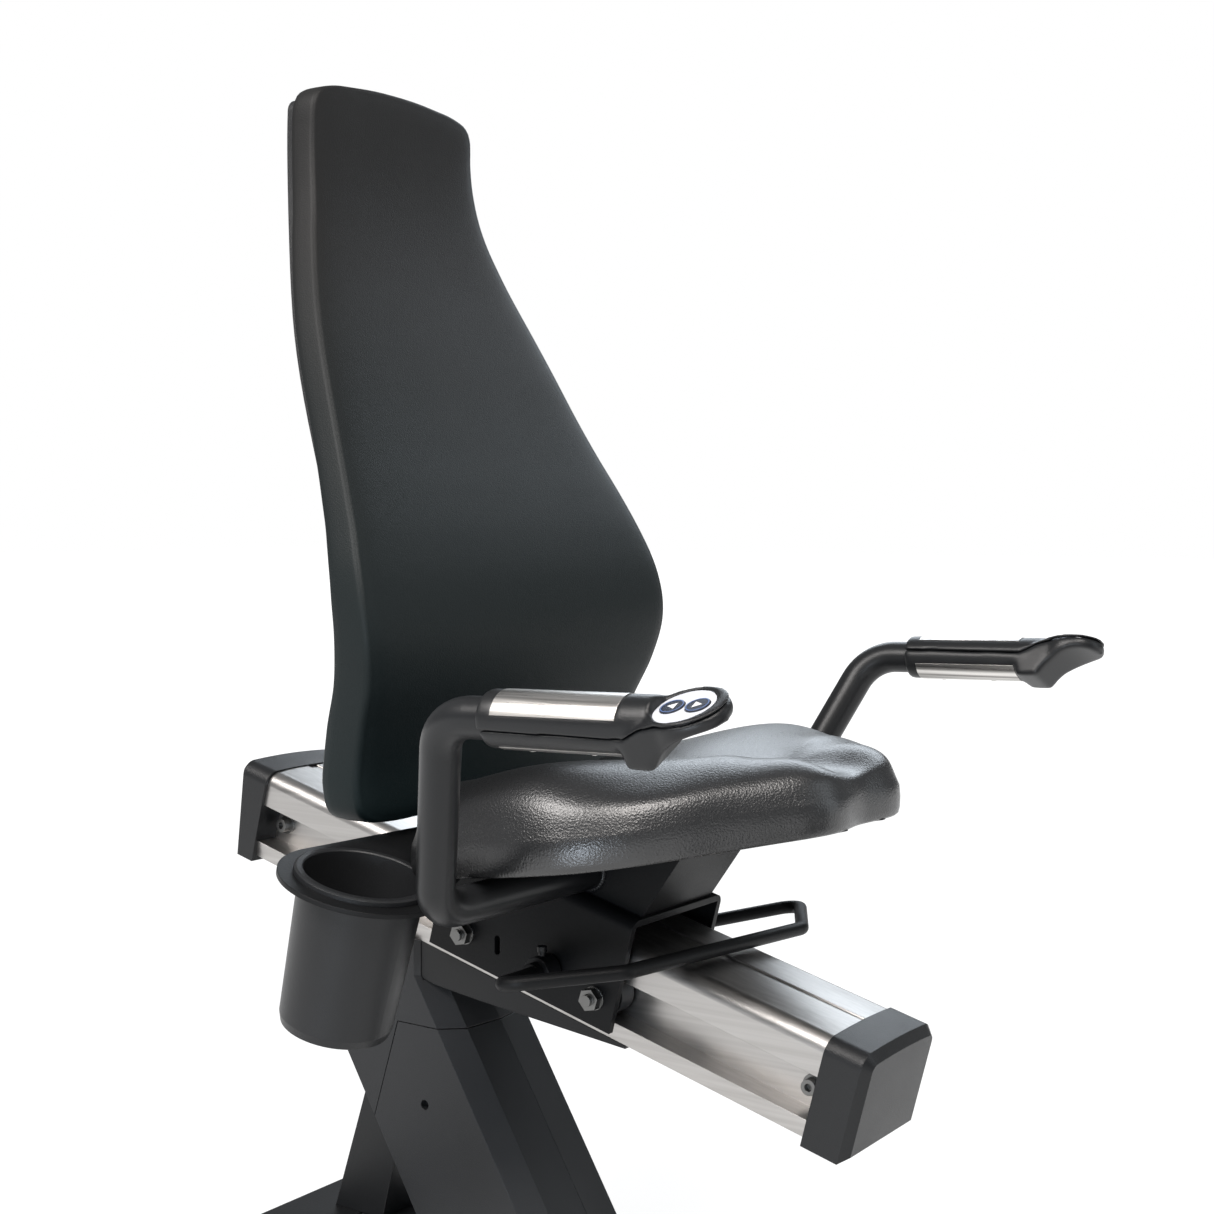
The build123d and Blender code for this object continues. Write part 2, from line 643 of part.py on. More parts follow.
ROLLER_RADIUS = (GROOVE_BOTTOM - GROOVE_TOP) / 2 - ROLLER_GAP
ROLLER_INNER = GROOVE_FLOOR + 5.0
ROLLER_OUTER = ROLLER_INNER + ROLLER_WIDTH
NUT_HEIGHT = 8.0


def rollers(station):
    """The pair of rollers that run in the rail's two side grooves."""
    centre = on_rail(station, -GROOVE_MIDDLE)
    for side in (-1, 1):
        across(centre, ROLLER_RADIUS, side * ROLLER_INNER, side * ROLLER_OUTER)
        across(centre, ROLLER_RADIUS - 6, side * (ROLLER_OUTER - 2), side * ROLLER_OUTER, Mode.SUBTRACT)
        across(centre, ROLLER_BOLT / 2 + 3, side * (ROLLER_OUTER - 2), side * ROLLER_OUTER)
        across(centre, ROLLER_BOLT / 2 + RUNNING_FIT, side * 30, side * 62, Mode.SUBTRACT)


with BuildPart() as rollers_rear:
    rollers(ROLLER_REAR)

with BuildPart() as rollers_front:
    rollers(ROLLER_FRONT)


def hexagon(centre, across_flats, y0, y1):
    """A hexagon nut or head, lying across the bike."""
    with BuildSketch(Plane.XZ.offset(-max(y0, y1))) as outline:
        with Locations(centre):
            RegularPolygon(across_flats / 2, 6, major_radius=False, rotation=12)
    extrude(to_extrude=outline.sketch, amount=abs(y1 - y0))


with BuildPart() as roller_bolts:
    for station in (ROLLER_REAR, ROLLER_FRONT):
        centre = on_rail(station, -GROOVE_MIDDLE)
        for side in (-1, 1):
            across(centre, ROLLER_BOLT / 2 + 3, side * (GROOVE_FLOOR + 1.5), side * (ROLLER_INNER - SEAT_GAP))
            across(centre, ROLLER_BOLT / 2, side * (ROLLER_INNER - 1), side * (HALF_SADDLE + 14))
            across(centre, ROLLER_BOLT / 2 + 3, side * (ROLLER_OUTER + SEAT_GAP), side * INNER_SADDLE)
            across(centre, 10.0, side * HALF_SADDLE, side * (HALF_SADDLE + 2))
            hexagon(centre, NUT_ACROSS_FLATS, side * (HALF_SADDLE + 2), side * (HALF_SADDLE + 2 + NUT_HEIGHT))

# ---------------------------------------------------------------- seat-release bail
# Stations (along the rail, across, above its top) of the right half and then the left half.
BAIL_NEAR, BAIL_FAR = 9.5, 7.5
BAIL_ROUTE = [
    (104.0, -212.0, -10.0),
    (166.0, -133.0, BAIL_NEAR),
    (190.0, 112.0, BAIL_FAR),
    (136.0, 211.0, -10.0),
]


def rail_point(s, y, n):
    """World point at a station along, across and above the rail."""
    x, z = on_rail(s, n)
    return (x, y, z)


COLLAR_START = BUSH_END + SEAT_GAP
COLLAR_END = COLLAR_START + LEVER_COLLAR_LENGTH
STUB_END = COLLAR_END + 8.0

with BuildPart() as lever_bail:
    with BuildLine() as bail_line:
        FilletPolyline(
            (LEVER_AXIS[0], -STUB_END + 4, LEVER_AXIS[1]),
            *[rail_point(*station) for station in BAIL_ROUTE],
            (LEVER_AXIS[0], STUB_END - 4, LEVER_AXIS[1]),
            radius=LEVER_BEND,
        )
    with BuildSketch(Plane(origin=bail_line.line @ 0, z_dir=bail_line.line % 0)):
        Circle(LEVER_BAR / 2)
    sweep()
    for side in (-1, 1):
        across(LEVER_AXIS, LEVER_BAR / 2, side * (GROOVE_FLOOR + 5), side * (COLLAR_END + 1))
        across(LEVER_AXIS, LEVER_BAR / 2 + 3, side * COLLAR_END, side * STUB_END)
        cam_centre = on_rail(LEVER_STATION, -(CAM_RADIUS + GROOVE_TOP + SEAT_GAP))
        across(cam_centre, CAM_RADIUS, side * (GROOVE_FLOOR + 5), side * (GROOVE_FLOOR + 20))

with BuildPart() as lever_collars:
    for side in (-1, 1):
        across(LEVER_AXIS, LEVER_COLLAR / 2, side * COLLAR_START, side * COLLAR_END)
        across(LEVER_AXIS, LEVER_BAR / 2, side * (COLLAR_START - 1), side * (COLLAR_END + 1), Mode.SUBTRACT)
        middle = side * (COLLAR_START + COLLAR_END) / 2
        screw_foot = LEVER_AXIS[1] + LEVER_COLLAR / 2
        with Locations((LEVER_AXIS[0], middle, screw_foot + 1)):
            Cylinder(3.0, 10)
        with Locations((LEVER_AXIS[0], middle, screw_foot + 5.5)):
            Cylinder(4.2, 5)

# ---------------------------------------------------------------- seat
PITCH = tan(radians(CUSHION_PITCH))
POST_HALF = 53.6
POST_PLATE = 4.0


def under_seat(x):
    """Height of the seat pan's underside above the datum, at a forward place."""
    return CUSHION_BASE + PITCH * x


def saddle_top(x):
    """Height of the carriage's top face above the datum, at a forward place."""
    return (SADDLE_TOP - x * TILT_SIN) / TILT_COS


POST_FRONT_LOW, POST_FRONT_HIGH = 126.0, 174.0
POST_REAR_LOW, POST_REAR_HIGH = 12.0, 30.0
with BuildPart() as seat_post:
    post = [
        at(POST_FRONT_LOW, saddle_top(POST_FRONT_LOW)),
        at(POST_FRONT_HIGH, under_seat(POST_FRONT_HIGH)),
        at(POST_REAR_HIGH, under_seat(POST_REAR_HIGH)),
        at(POST_REAR_LOW, saddle_top(POST_REAR_LOW)),
    ]
    prism(post, -POST_HALF, POST_HALF)
    hollow = [
        at(POST_FRONT_LOW - 6 - 6, saddle_top(POST_FRONT_LOW) - 8),
        at(POST_FRONT_HIGH - 6 + 6, under_seat(POST_FRONT_HIGH) + 8),
        at(POST_REAR_HIGH - 30, under_seat(POST_REAR_HIGH) + 8),
        at(POST_REAR_LOW - 30, saddle_top(POST_REAR_LOW) - 8),
    ]
    prism(hollow, POST_PLATE - POST_HALF, POST_HALF - POST_PLATE, Mode.SUBTRACT)

SEAT_REAR = -48.0
SEAT_FRONT = SEAT_REAR + CUSHION_LENGTH
SEAT_KNEE = 6.0              # where the underside starts to rise over the carriage's rear
REAR_UNDER = saddle_top(SEAT_REAR) + 8.0


def seat_plan(grow, height):
    """Plan outline of the seat: rounded rear, wide hips and two thigh lobes in front."""
    half = CUSHION_WIDTH / 2 + grow
    rear, front = SEAT_REAR - grow, SEAT_FRONT + grow
    with BuildSketch(Plane.XY.offset(height)) as plan:
        with BuildLine():
            Spline(
                (RAIL_X + rear, 0),
                (RAIL_X + rear + 4, 118 + grow),
                (RAIL_X + 8, half - 28),
                (RAIL_X + 76, half - 7),
                (RAIL_X + 142, half),
                (RAIL_X + front - 118, half - 22),
                (RAIL_X + front - 76, half - 68),
                (RAIL_X + front - 29, half - 129),
                (RAIL_X + front, half - 180),
                (RAIL_X + front - 10, 0),
                tangents=((0, 1), (0, -1)),
            )
            mirror(about=Plane.XZ)
        make_face()
    return plan.sketch


pan_sides = [
    at(SEAT_REAR - 40, REAR_UNDER + 10),
    at(SEAT_KNEE, under_seat(SEAT_KNEE)),
    at(SEAT_FRONT + 40, under_seat(SEAT_FRONT + 40)),
]
with BuildPart() as seat_pan:
    top = [(x, z + PAN_THICKNESS) for x, z in reversed(pan_sides)]
    prism(pan_sides + top, -300, 300)
    extrude(to_extrude=seat_plan(-PAN_INSET, RAIL_Z - 50), amount=300, mode=Mode.INTERSECT)

CUSHION_ROUND = 30.0
CUSHION_CREST = 144.0        # highest point of the cushion above the datum
with BuildPart() as seat_cushion:
    with BuildSketch(Plane.XZ) as cushion_side:
        with BuildLine():
            Polyline(*pan_sides)
            Spline(
                pan_sides[0],
                at(SEAT_REAR - 20, 112),
                at(30, 122),
                at(133, 134),
                at(240, CUSHION_CREST),
                at(SEAT_FRONT - 16, CUSHION_CREST - 6),
                at(SEAT_FRONT + 30, 110),
                pan_sides[-1],
            )
        make_face()
    extrude(to_extrude=cushion_side.sketch, amount=300, both=True)
    extrude(to_extrude=seat_plan(0, RAIL_Z - 50), amount=300, mode=Mode.INTERSECT)
    with BuildSketch(Plane.YZ.offset(RAIL_X - 100)) as cushion_front:
        with Locations((0, RAIL_Z + 60)):
            Rectangle(CUSHION_WIDTH, 2 * (CUSHION_CREST - 60))
        fillet(cushion_front.vertices(), CUSHION_ROUND)
    extrude(to_extrude=cushion_front.sketch, amount=500, mode=Mode.INTERSECT)
    pocket_top = [(x, z + PAN_THICKNESS + SEAT_GAP) for x, z in reversed(pan_sides)]
    pocket_low = [(x, z - 5) for x, z in pan_sides]
    with BuildPart(mode=Mode.PRIVATE) as pocket:
        prism(pocket_low + pocket_top, -300, 300)
        extrude(to_extrude=seat_plan(SEAT_GAP - PAN_INSET, RAIL_Z - 50), amount=300, mode=Mode.INTERSECT)
    add(pocket.part, mode=Mode.SUBTRACT)

# ---------------------------------------------------------------- backrest
BACK_FOOT = 66.0
BACK_TOP = BACK_FOOT + BACK_HEIGHT


def back_front(shift):
    """Points of the lumbar curve of the backrest's front, moved rearwards by a shift."""
    curve = [(-185, 706), (-176, 590), (-137, 485), (-98, 400), (-33, 266), (-26, 222), (-57, 126), (-65, 66)]
    return [at(x - shift, BACK_FOOT + (z - 66) * BACK_HEIGHT / 640) for x, z in curve]


def back_layer(near, far):
    """A curved layer of the backrest between two shifts from its front face."""
    with BuildSketch(Plane.XZ) as layer:
        with BuildLine():
            front = Spline(*back_front(near))
            rear = Spline(*back_front(far))
            Line(front @ 0, rear @ 0)
            Line(front @ 1, rear @ 1)
        make_face()
    extrude(to_extrude=layer.sketch, amount=BACK_WIDTH, both=True)


def back_outline(inset):
    """Front outline of the backrest: a narrow crowned head that flares to the lumbar wings."""
    half, top = BACK_WIDTH / 2 - inset, BACK_TOP_WIDTH / 2 - inset
    foot, head = RAIL_Z + BACK_FOOT + inset, RAIL_Z + BACK_TOP - inset
    with BuildSketch(Plane.YZ.offset(RAIL_X - 400)) as outline:
        with BuildLine():
            ThreePointArc((0, head), (top / 2, head - 1), (top - 10, head - 4))
            ThreePointArc((top - 10, head - 4), (top - 3, head - 7), (top, head - 14))
            Spline(
                (top, head - 14),
                (top + 3, head - 70),
                (top + 18, head - 139),
                (top + 46, head - 223),
                (half - 39, head - 310),
                (half - 16, head - 385),
                (half, foot + 166),
                (half - 11, foot + 116),
                (half - 25, foot + 58),
                (half - 33, foot + 15),
                tangents=((0, -1), (-0.3, -0.95)),
            )
            Line((half - 33, foot + 15), (half - 48, foot))
            Line((half - 48, foot), (0, foot))
            mirror(about=Plane.YZ)
        make_face()
    extrude(to_extrude=outline.sketch, amount=800, mode=Mode.INTERSECT)


with BuildPart() as back_cushion:
    back_layer(0, BACK_CUSHION)
    back_outline(0)

with BuildPart() as back_shell:
    back_layer(BACK_CUSHION + SEAT_GAP, BACK_CUSHION + BACK_SHELL)
    back_outline(BACK_SHELL_INSET)


def shell_rear(level):
    """Forward place of the back shell's rear face at a height above the datum."""
    curve = Spline(*back_front(BACK_CUSHION + BACK_SHELL), mode=Mode.PRIVATE)
    low, high = 0.0, 1.0
    for _ in range(24):
        middle = (low + high) / 2
        if (curve @ middle).Y - RAIL_Z > level:
            low = middle
        else:
            high = middle
    return (curve @ low).X - RAIL_X


# Two upright arms carry the shell; their feet are bolted to the carriage's top.
ARM_HALF = 46.0
ARM_WIDTH = 30.0
ARM_DEPTH = 26.0
ARM_FRONT = -118.0
ARM_TOP = 345.0
PAD_LEVELS = (118.0, 318.0)
PAD_HEIGHT = 44.0
with BuildPart() as back_frame:
    foot = 8.0
    reach = ARM_FRONT - ARM_DEPTH
    arm = [
        on_rail(0, SADDLE_TOP),
        on_rail(SADDLE_REAR, SADDLE_TOP),
        on_rail(SADDLE_REAR - 35, SADDLE_TOP),
        at(reach, 70),
        at(reach, ARM_TOP),
        at(ARM_FRONT, ARM_TOP),
        at(ARM_FRONT, 82),
        on_rail(SADDLE_REAR - 30, SADDLE_TOP + foot),
        on_rail(0, SADDLE_TOP + foot),
    ]
    for side in (-1, 1):
        inner, outer = side * (ARM_HALF - ARM_WIDTH), side * ARM_HALF
        prism(arm, min(inner, outer), max(inner, outer))
    for level in PAD_LEVELS:
        low, high = level - PAD_HEIGHT / 2, level + PAD_HEIGHT / 2
        pad = [
            at(ARM_FRONT, low),
            at(ARM_FRONT, high),
            at(shell_rear(high) + 4, high),
            at(shell_rear(level) + 4, level),
            at(shell_rear(low) + 4, low),
        ]
        prism(pad, -ARM_HALF, ARM_HALF)
    add(back_shell.part, mode=Mode.SUBTRACT)

# ---------------------------------------------------------------- armrests
HANDLE_Y = HANDLE_SPAN / 2
GRIP_MIDDLE = (238.0, 188.0)
GRIP_SLOPE = tan(radians(GRIP_RISE))
TUBE_END = 300.0
HANDLE_CORNER = 142.4        # forward place of the bend behind the grip
HANDLE_ELBOW = (75.0, 70.1, 26.0)      # bend at the foot: forward, inwards of the grip, up
HANDLE_WELD = (72.0, 24.0)
GRIP_REAR = 187.0


def grip_line(x):
    """A point of the armrest's axis at a forward place."""
    return GRIP_MIDDLE[1] + (x - GRIP_MIDDLE[0]) * GRIP_SLOPE


with BuildPart() as handle_tube_right:
    with BuildLine() as handle_line:
        FilletPolyline(
            (RAIL_X + TUBE_END, -HANDLE_Y, RAIL_Z + grip_line(TUBE_END)),
            (RAIL_X + HANDLE_CORNER, -HANDLE_Y, RAIL_Z + grip_line(HANDLE_CORNER)),
            (RAIL_X + HANDLE_ELBOW[0], HANDLE_ELBOW[1] - HANDLE_Y, RAIL_Z + HANDLE_ELBOW[2]),
            (RAIL_X + HANDLE_WELD[0], -POST_HALF, RAIL_Z + HANDLE_WELD[1]),
            radius=HANDLE_BEND,
        )
    with BuildSketch(Plane(origin=handle_line.line @ 0, z_dir=handle_line.line % 0)):
        Circle(HANDLE_TUBE / 2)
        Circle(HANDLE_TUBE / 2 - HANDLE_WALL, mode=Mode.SUBTRACT)
    sweep()
    block(RAIL_X, RAIL_X + 300, -POST_HALF, 0, RAIL_Z - 50, RAIL_Z + 100, Mode.SUBTRACT)

with BuildPart() as handle_tube_left:
    mirror(handle_tube_right.part, about=Plane.XZ)


def grip_along(lift):
    """Direction of the grip, lifted at its front by an angle in degrees."""
    rise = radians(GRIP_RISE + lift)
    return Vector(cos(rise), 0, sin(rise))


def grip_sideways(lift):
    """Direction across the grip, which is rolled outwards so that its panel faces out."""
    rise, roll = radians(GRIP_RISE + lift), radians(GRIP_ROLL)
    return Vector(-sin(rise) * sin(roll), cos(roll), cos(rise) * sin(roll))


GRIP_PLANE = Plane(
    origin=(RAIL_X + GRIP_REAR, -HANDLE_Y, RAIL_Z + grip_line(GRIP_REAR)),
    x_dir=grip_sideways(0),
    z_dir=grip_along(0),
)
PLATE_START = 13.5
PLATE_REACH = 53.5           # degrees either side of the grip's top and of its bottom
HEAD_LIFT = 5.0              # degrees between the grip and the head's face
PANEL_REACH = 159.6          # from the grip's rear end
PANEL_RISE = 15.3            # over the grip's axis
PANEL_SKIN = 2.0
LIP_HEIGHT = 1.5
HEAD_HALF = 25.5
HEAD_REACH = 29.0
HEAD_SHIFT = 2.0
HEAD_DROP = 1.5              # the head's floor, under the grip's
PANEL = Plane(
    origin=GRIP_PLANE.from_local_coords((0, PANEL_RISE, PANEL_REACH)),
    x_dir=grip_along(HEAD_LIFT),
    z_dir=grip_along(HEAD_LIFT).cross(grip_sideways(HEAD_LIFT)),
)
HEAD_SIDE = Plane(origin=PANEL.origin, x_dir=grip_along(HEAD_LIFT), z_dir=-grip_sideways(HEAD_LIFT))
BUTTON_BODY = 4.0
BUTTON_SHIFT = 0.5


def grip_level(place, rise):
    """A point of the head's side view at a place along it and a rise over the grip's axis."""
    return place, rise - PANEL_RISE - place * tan(radians(HEAD_LIFT))


def button_places():
    """Where the two buttons sit along the panel."""
    return [(BUTTON_SHIFT - BUTTON_PITCH / 2, 0), (BUTTON_SHIFT + BUTTON_PITCH / 2, 0)]


def control_head():
    """The round head in front of the grip: a dish for the panel on a neck, scooped from below."""
    floor = -GRIP_DIAMETER / 2 - HEAD_DROP
    with BuildPart() as head:
        with BuildSketch(HEAD_SIDE) as side_view:
            with BuildLine():
                Polyline(
                    grip_level(-24, floor),
                    grip_level(-46, floor),
                    grip_level(-46, -4),
                    grip_level(-42, 1),
                )
                Spline(grip_level(-42, 1), (-33, -6), (-25, -2.4), (-17, -0.6), (-8, 0))
                Polyline((-8, 0), (-8, LIP_HEIGHT), (34, LIP_HEIGHT), (34, -12.4))
                Spline(
                    (34, -12.4),
                    (26, -11.2),
                    (17, -10.4),
                    (8, -11.4),
                    (0, -14),
                    (-8, -18.5),
                    (-16, -25),
                    (-21, -31),
                    grip_level(-24, floor),
                )
            make_face()
        extrude(to_extrude=side_view.sketch, amount=HEAD_HALF + 1, both=True)
        with BuildSketch(PANEL.offset(-60)) as plan:
            with Locations((HEAD_SHIFT, 0)):
                Ellipse(HEAD_REACH, HEAD_HALF)
            with BuildLine():
                Polyline(
                    (-47, -GRIP_DIAMETER / 2),
                    (-14, -HEAD_HALF + 3),
                    (-14, HEAD_HALF - 3),
                    (-47, GRIP_DIAMETER / 2),
                    close=True,
                )
            make_face()
        extrude(to_extrude=plan.sketch, amount=100, mode=Mode.INTERSECT)
        with BuildSketch(PANEL.offset(-LIP_HEIGHT * 6)) as dish:
            with Locations((HEAD_SHIFT, 0)):
                Ellipse(HEAD_REACH, HEAD_HALF)
        extrude(to_extrude=dish.sketch, amount=LIP_HEIGHT * 7)
    return head.part


def whole_grip():
    """The moulded grip before its seam is cut: a round handle that flares into a control head."""
    with BuildSketch(GRIP_PLANE) as handle:
        Circle(GRIP_DIAMETER / 2)
    extrude(to_extrude=handle.sketch, amount=PANEL_REACH - PANEL_DIAMETER / 2)
    rear = faces().sort_by(Axis.X)[0]
    chamfer(rear.edges(), length=1.5)
    add(control_head())
    with BuildSketch(GRIP_PLANE) as bore:
        Circle(HANDLE_TUBE / 2)
    extrude(to_extrude=bore.sketch, amount=TUBE_END - GRIP_REAR + 0.5, mode=Mode.SUBTRACT)
    with BuildSketch(PANEL) as recess:
        Circle(PANEL_DIAMETER / 2)
    extrude(to_extrude=recess.sketch, amount=40, mode=Mode.SUBTRACT)
    extrude(to_extrude=recess.sketch, amount=-PANEL_SKIN, mode=Mode.SUBTRACT)
    with BuildSketch(PANEL) as well:
        Circle(PANEL_DIAMETER / 2 - 1.5)
    extrude(to_extrude=well.sketch, amount=-BUTTON_BODY - 2, mode=Mode.SUBTRACT)
    skin = plate_section(GRIP_DIAMETER / 2 + 1)
    extrude(to_extrude=skin, amount=PLATE_LENGTH, mode=Mode.SUBTRACT)


def plate_section(outer):
    """Two ring sectors, above and below the grip's axis, where the pulse plates lie."""
    with BuildSketch(GRIP_PLANE.offset(PLATE_START)) as sectors:
        Circle(outer)
        Circle(GRIP_DIAMETER / 2 - PLATE_SKIN, mode=Mode.SUBTRACT)
        far = GRIP_DIAMETER
        for side in (-1, 1):
            spread = far / tan(radians(PLATE_REACH))
            with BuildLine():
                Polyline((0, 0), (side * far, spread), (side * far, -spread), close=True)
            make_face(mode=Mode.SUBTRACT)
    return sectors.sketch


def above_seam(mode):
    """Keep or take away what lies over the moulding seam, which climbs to the head's lip."""
    with BuildSketch(HEAD_SIDE) as over:
        with BuildLine():
            Polyline(
                (40, -0.4),
                (12, -0.8),
                (-9, -1.8),
                (-25, -4),
                (-33, -7.4),
                grip_level(-42, 0),
                grip_level(-PANEL_REACH - 20, 0),
                (-PANEL_REACH - 20, 60),
                (40, 60),
                close=True,
            )
        make_face()
    extrude(to_extrude=over.sketch, amount=GRIP_DIAMETER, both=True, mode=mode)


with BuildPart() as grip_upper_right:
    whole_grip()
    above_seam(Mode.INTERSECT)

with BuildPart() as grip_lower_right:
    whole_grip()
    above_seam(Mode.SUBTRACT)

with BuildPart() as grip_upper_left:
    mirror(grip_upper_right.part, about=Plane.XZ)

with BuildPart() as grip_lower_left:
    mirror(grip_lower_right.part, about=Plane.XZ)

with BuildPart() as pulse_plates:
    extrude(to_extrude=plate_section(GRIP_DIAMETER / 2 + 0.2), amount=PLATE_LENGTH)
    mirror(about=Plane.XZ)

with BuildPart() as keypads:
    with BuildSketch(PANEL):
        Circle(PANEL_DIAMETER / 2)
        with Locations(*button_places()):
            Circle(BUTTON_DIAMETER / 2 + BUTTON_GAP, mode=Mode.SUBTRACT)
    extrude(amount=-PANEL_SKIN)
    mirror(about=Plane.XZ)


def button(index, left):
    """One round thumb button, standing a little proud of its panel."""
    with BuildSketch(PANEL.offset(BUTTON_TRAVEL - BUTTON_BODY)) as face:
        with Locations(button_places()[index]):
            Circle(BUTTON_DIAMETER / 2)
    extrude(to_extrude=face.sketch, amount=BUTTON_BODY)
    if left:
        mirror(about=Plane.XZ, mode=Mode.REPLACE)


with BuildPart() as button_right_rear:
    button(0, False)

with BuildPart() as button_right_front:
    button(1, False)

with BuildPart() as button_left_rear:
    button(0, True)

with BuildPart() as button_left_front:
    button(1, True)

# ---------------------------------------------------------------- cup holder
CUP_PLATE_INNER = 47.0       # inner edge of the tab on the carriage's top
CUP_FOOT = -8.0
CUP_PLATE_REAR = -97.0
with BuildPart() as cup_bracket:
    with BuildSketch(rail_level(SADDLE_TOP)):
        with Locations((CUP_STATION, -CUP_OFFSET)):
            Circle(CUP_PLATE_RADIUS)
        with BuildLine():
            Polyline(
                (CUP_PLATE_REAR, -CUP_PLATE_INNER),
                (CUP_STATION - CUP_PLATE_RADIUS, -CUP_OFFSET),
                (CUP_STATION + CUP_PLATE_RADIUS, -CUP_OFFSET),
                (CUP_FOOT, -HALF_SADDLE - 60),
                (CUP_FOOT, -CUP_PLATE_INNER),
                close=True,
            )
        make_face()
        with Locations((CUP_STATION, -CUP_OFFSET)):
            Circle(CUP_MOUTH / 2 + CUP_WALL + 1.0, mode=Mode.SUBTRACT)
    extrude(amount=CUP_PLATE)

CUP_LIP_HEIGHT = 5.0
with BuildPart() as cup_holder:
    centre_x, centre_z = on_rail(CUP_STATION, SADDLE_TOP + CUP_PLATE)
    cup_plane = Plane(origin=(centre_x, -CUP_OFFSET, centre_z), x_dir=RAIL_DIR, z_dir=(0, 1, 0))
    # The cup's axis is square to the rail; local y of this plane points down the cup.
    mouth, lip, base = CUP_MOUTH / 2, CUP_LIP / 2, CUP_BASE / 2
    with BuildSketch(cup_plane) as cup_wall:
        with BuildLine():
            Polyline(
                (0, CUP_DEPTH),
                (base - 8, CUP_DEPTH),
                (base - 2, CUP_DEPTH - 3),
                (base, CUP_DEPTH - 10),
                (mouth + CUP_WALL, 0),
                (lip, 0),
                (lip, 1 - CUP_LIP_HEIGHT),
                (lip - 2, -CUP_LIP_HEIGHT),
                (mouth + 1, -CUP_LIP_HEIGHT),
                (mouth, 1 - CUP_LIP_HEIGHT),
                (base - CUP_WALL, CUP_DEPTH - 12),
                (base - 9, CUP_DEPTH - CUP_WALL),
                (0, CUP_DEPTH - CUP_WALL),
                close=True,
            )
        make_face()
    revolve(profiles=cup_wall.sketch, axis=Axis((centre_x, -CUP_OFFSET, centre_z), RAIL_UP))

# ---------------------------------------------------------------- drive
CRANK = at(CRANK_REACH, -CRANK_DROP)
FLYWHEEL = at(CRANK_REACH + FLYWHEEL_REACH, -CRANK_DROP - FLYWHEEL_DROP)
MAST_LOW = (CRANK_REACH + 112.0, 296.0)
MAST_HIGH = (CRANK_REACH + 46.0, 832.0)
MAST_FOOT = 6.0
MAST_SOCKET = 62.0           # length of the console's collar round the mast
PLATE_Y = 8.0                # drive plate, a little left of the middle
PLATE_END = PLATE_Y + DRIVE_PLATE
BELT_Y = 26.0
CRANK_BEARING = CRANK_AXLE / 2 + BEARING_WALL
SHELL_WALL = 5.0
SHELL_RIGHT = -62.0
SHELL_LEFT = 20.0
WHEEL_BEARING = FLYWHEEL_SHAFT / 2 + 8.0
BOSS_RIGHT, BOSS_LEFT = 4.0, 20.0

with BuildPart() as drive_frame:
    plate = [
        at(CRANK_REACH - 70, BEAM_LEVEL),
        at(CRANK_REACH + 170, BEAM_LEVEL),
        at(CRANK_REACH + FLYWHEEL_REACH + 34, -CRANK_DROP - FLYWHEEL_DROP - 20),
        at(CRANK_REACH + FLYWHEEL_REACH + 14, -CRANK_DROP - FLYWHEEL_DROP + 34),
        at(MAST_LOW[0] + MAST_DIAMETER / 2, MAST_LOW[1] - MAST_FOOT),
        at(MAST_LOW[0] - MAST_DIAMETER / 2, MAST_LOW[1] - MAST_FOOT),
        at(CRANK_REACH - 40, -CRANK_DROP + 40),
        at(CRANK_REACH - 46, -CRANK_DROP - 30),
    ]
    prism(plate, PLATE_Y, PLATE_END)
    across(CRANK, CRANK_BEARING + SHELL_WALL, SHELL_RIGHT, SHELL_LEFT)
    across(CRANK, CRANK_BEARING, SHELL_RIGHT - 1, SHELL_LEFT + 1, Mode.SUBTRACT)
    across(FLYWHEEL, WHEEL_BEARING + SHELL_WALL, BOSS_RIGHT, BOSS_LEFT)
    across(FLYWHEEL, WHEEL_BEARING, BOSS_RIGHT - 1, BOSS_LEFT + 1, Mode.SUBTRACT)
    foot_end = at(CRANK_REACH + 170, BEAM_LEVEL)[0]
    block(at(CRANK_REACH - 70, 0)[0], foot_end, -30, 30, BEAM_TOP, BEAM_TOP + 6)
    mast_x, mast_z = at(*MAST_LOW)
    block(mast_x - 36, mast_x + 36, -34, 34, mast_z - MAST_FOOT, mast_z)
    rib = [
        at(CRANK_REACH - 10, BEAM_LEVEL + 6),
        at(CRANK_REACH + 10, BEAM_LEVEL + 6),
        at(CRANK_REACH + 6, -CRANK_DROP - CRANK_BEARING - 2),
        at(CRANK_REACH - 6, -CRANK_DROP - CRANK_BEARING - 2),
    ]
    prism(rib, -30, PLATE_Y)

with BuildPart() as drive_bearings:
    for start in (SHELL_RIGHT, SHELL_LEFT - BEARING_WIDTH):
        across(CRANK, CRANK_BEARING, start, start + BEARING_WIDTH)
        across(CRANK, CRANK_AXLE / 2 + RUNNING_FIT, start - 1, start + BEARING_WIDTH + 1, Mode.SUBTRACT)
    across(FLYWHEEL, WHEEL_BEARING, BOSS_RIGHT, BOSS_LEFT)
    across(FLYWHEEL, FLYWHEEL_SHAFT / 2 + RUNNING_FIT, BOSS_RIGHT - 1, BOSS_LEFT + 1, Mode.SUBTRACT)

CRANK_FACE = CRANK_SPREAD / 2
with BuildPart() as crank_axle:
    across(CRANK, CRANK_AXLE / 2, -CRANK_FACE - CRANK_ARM, CRANK_FACE + CRANK_ARM)
    fillet(edges().filter_by(GeomType.CIRCLE), 1.5)


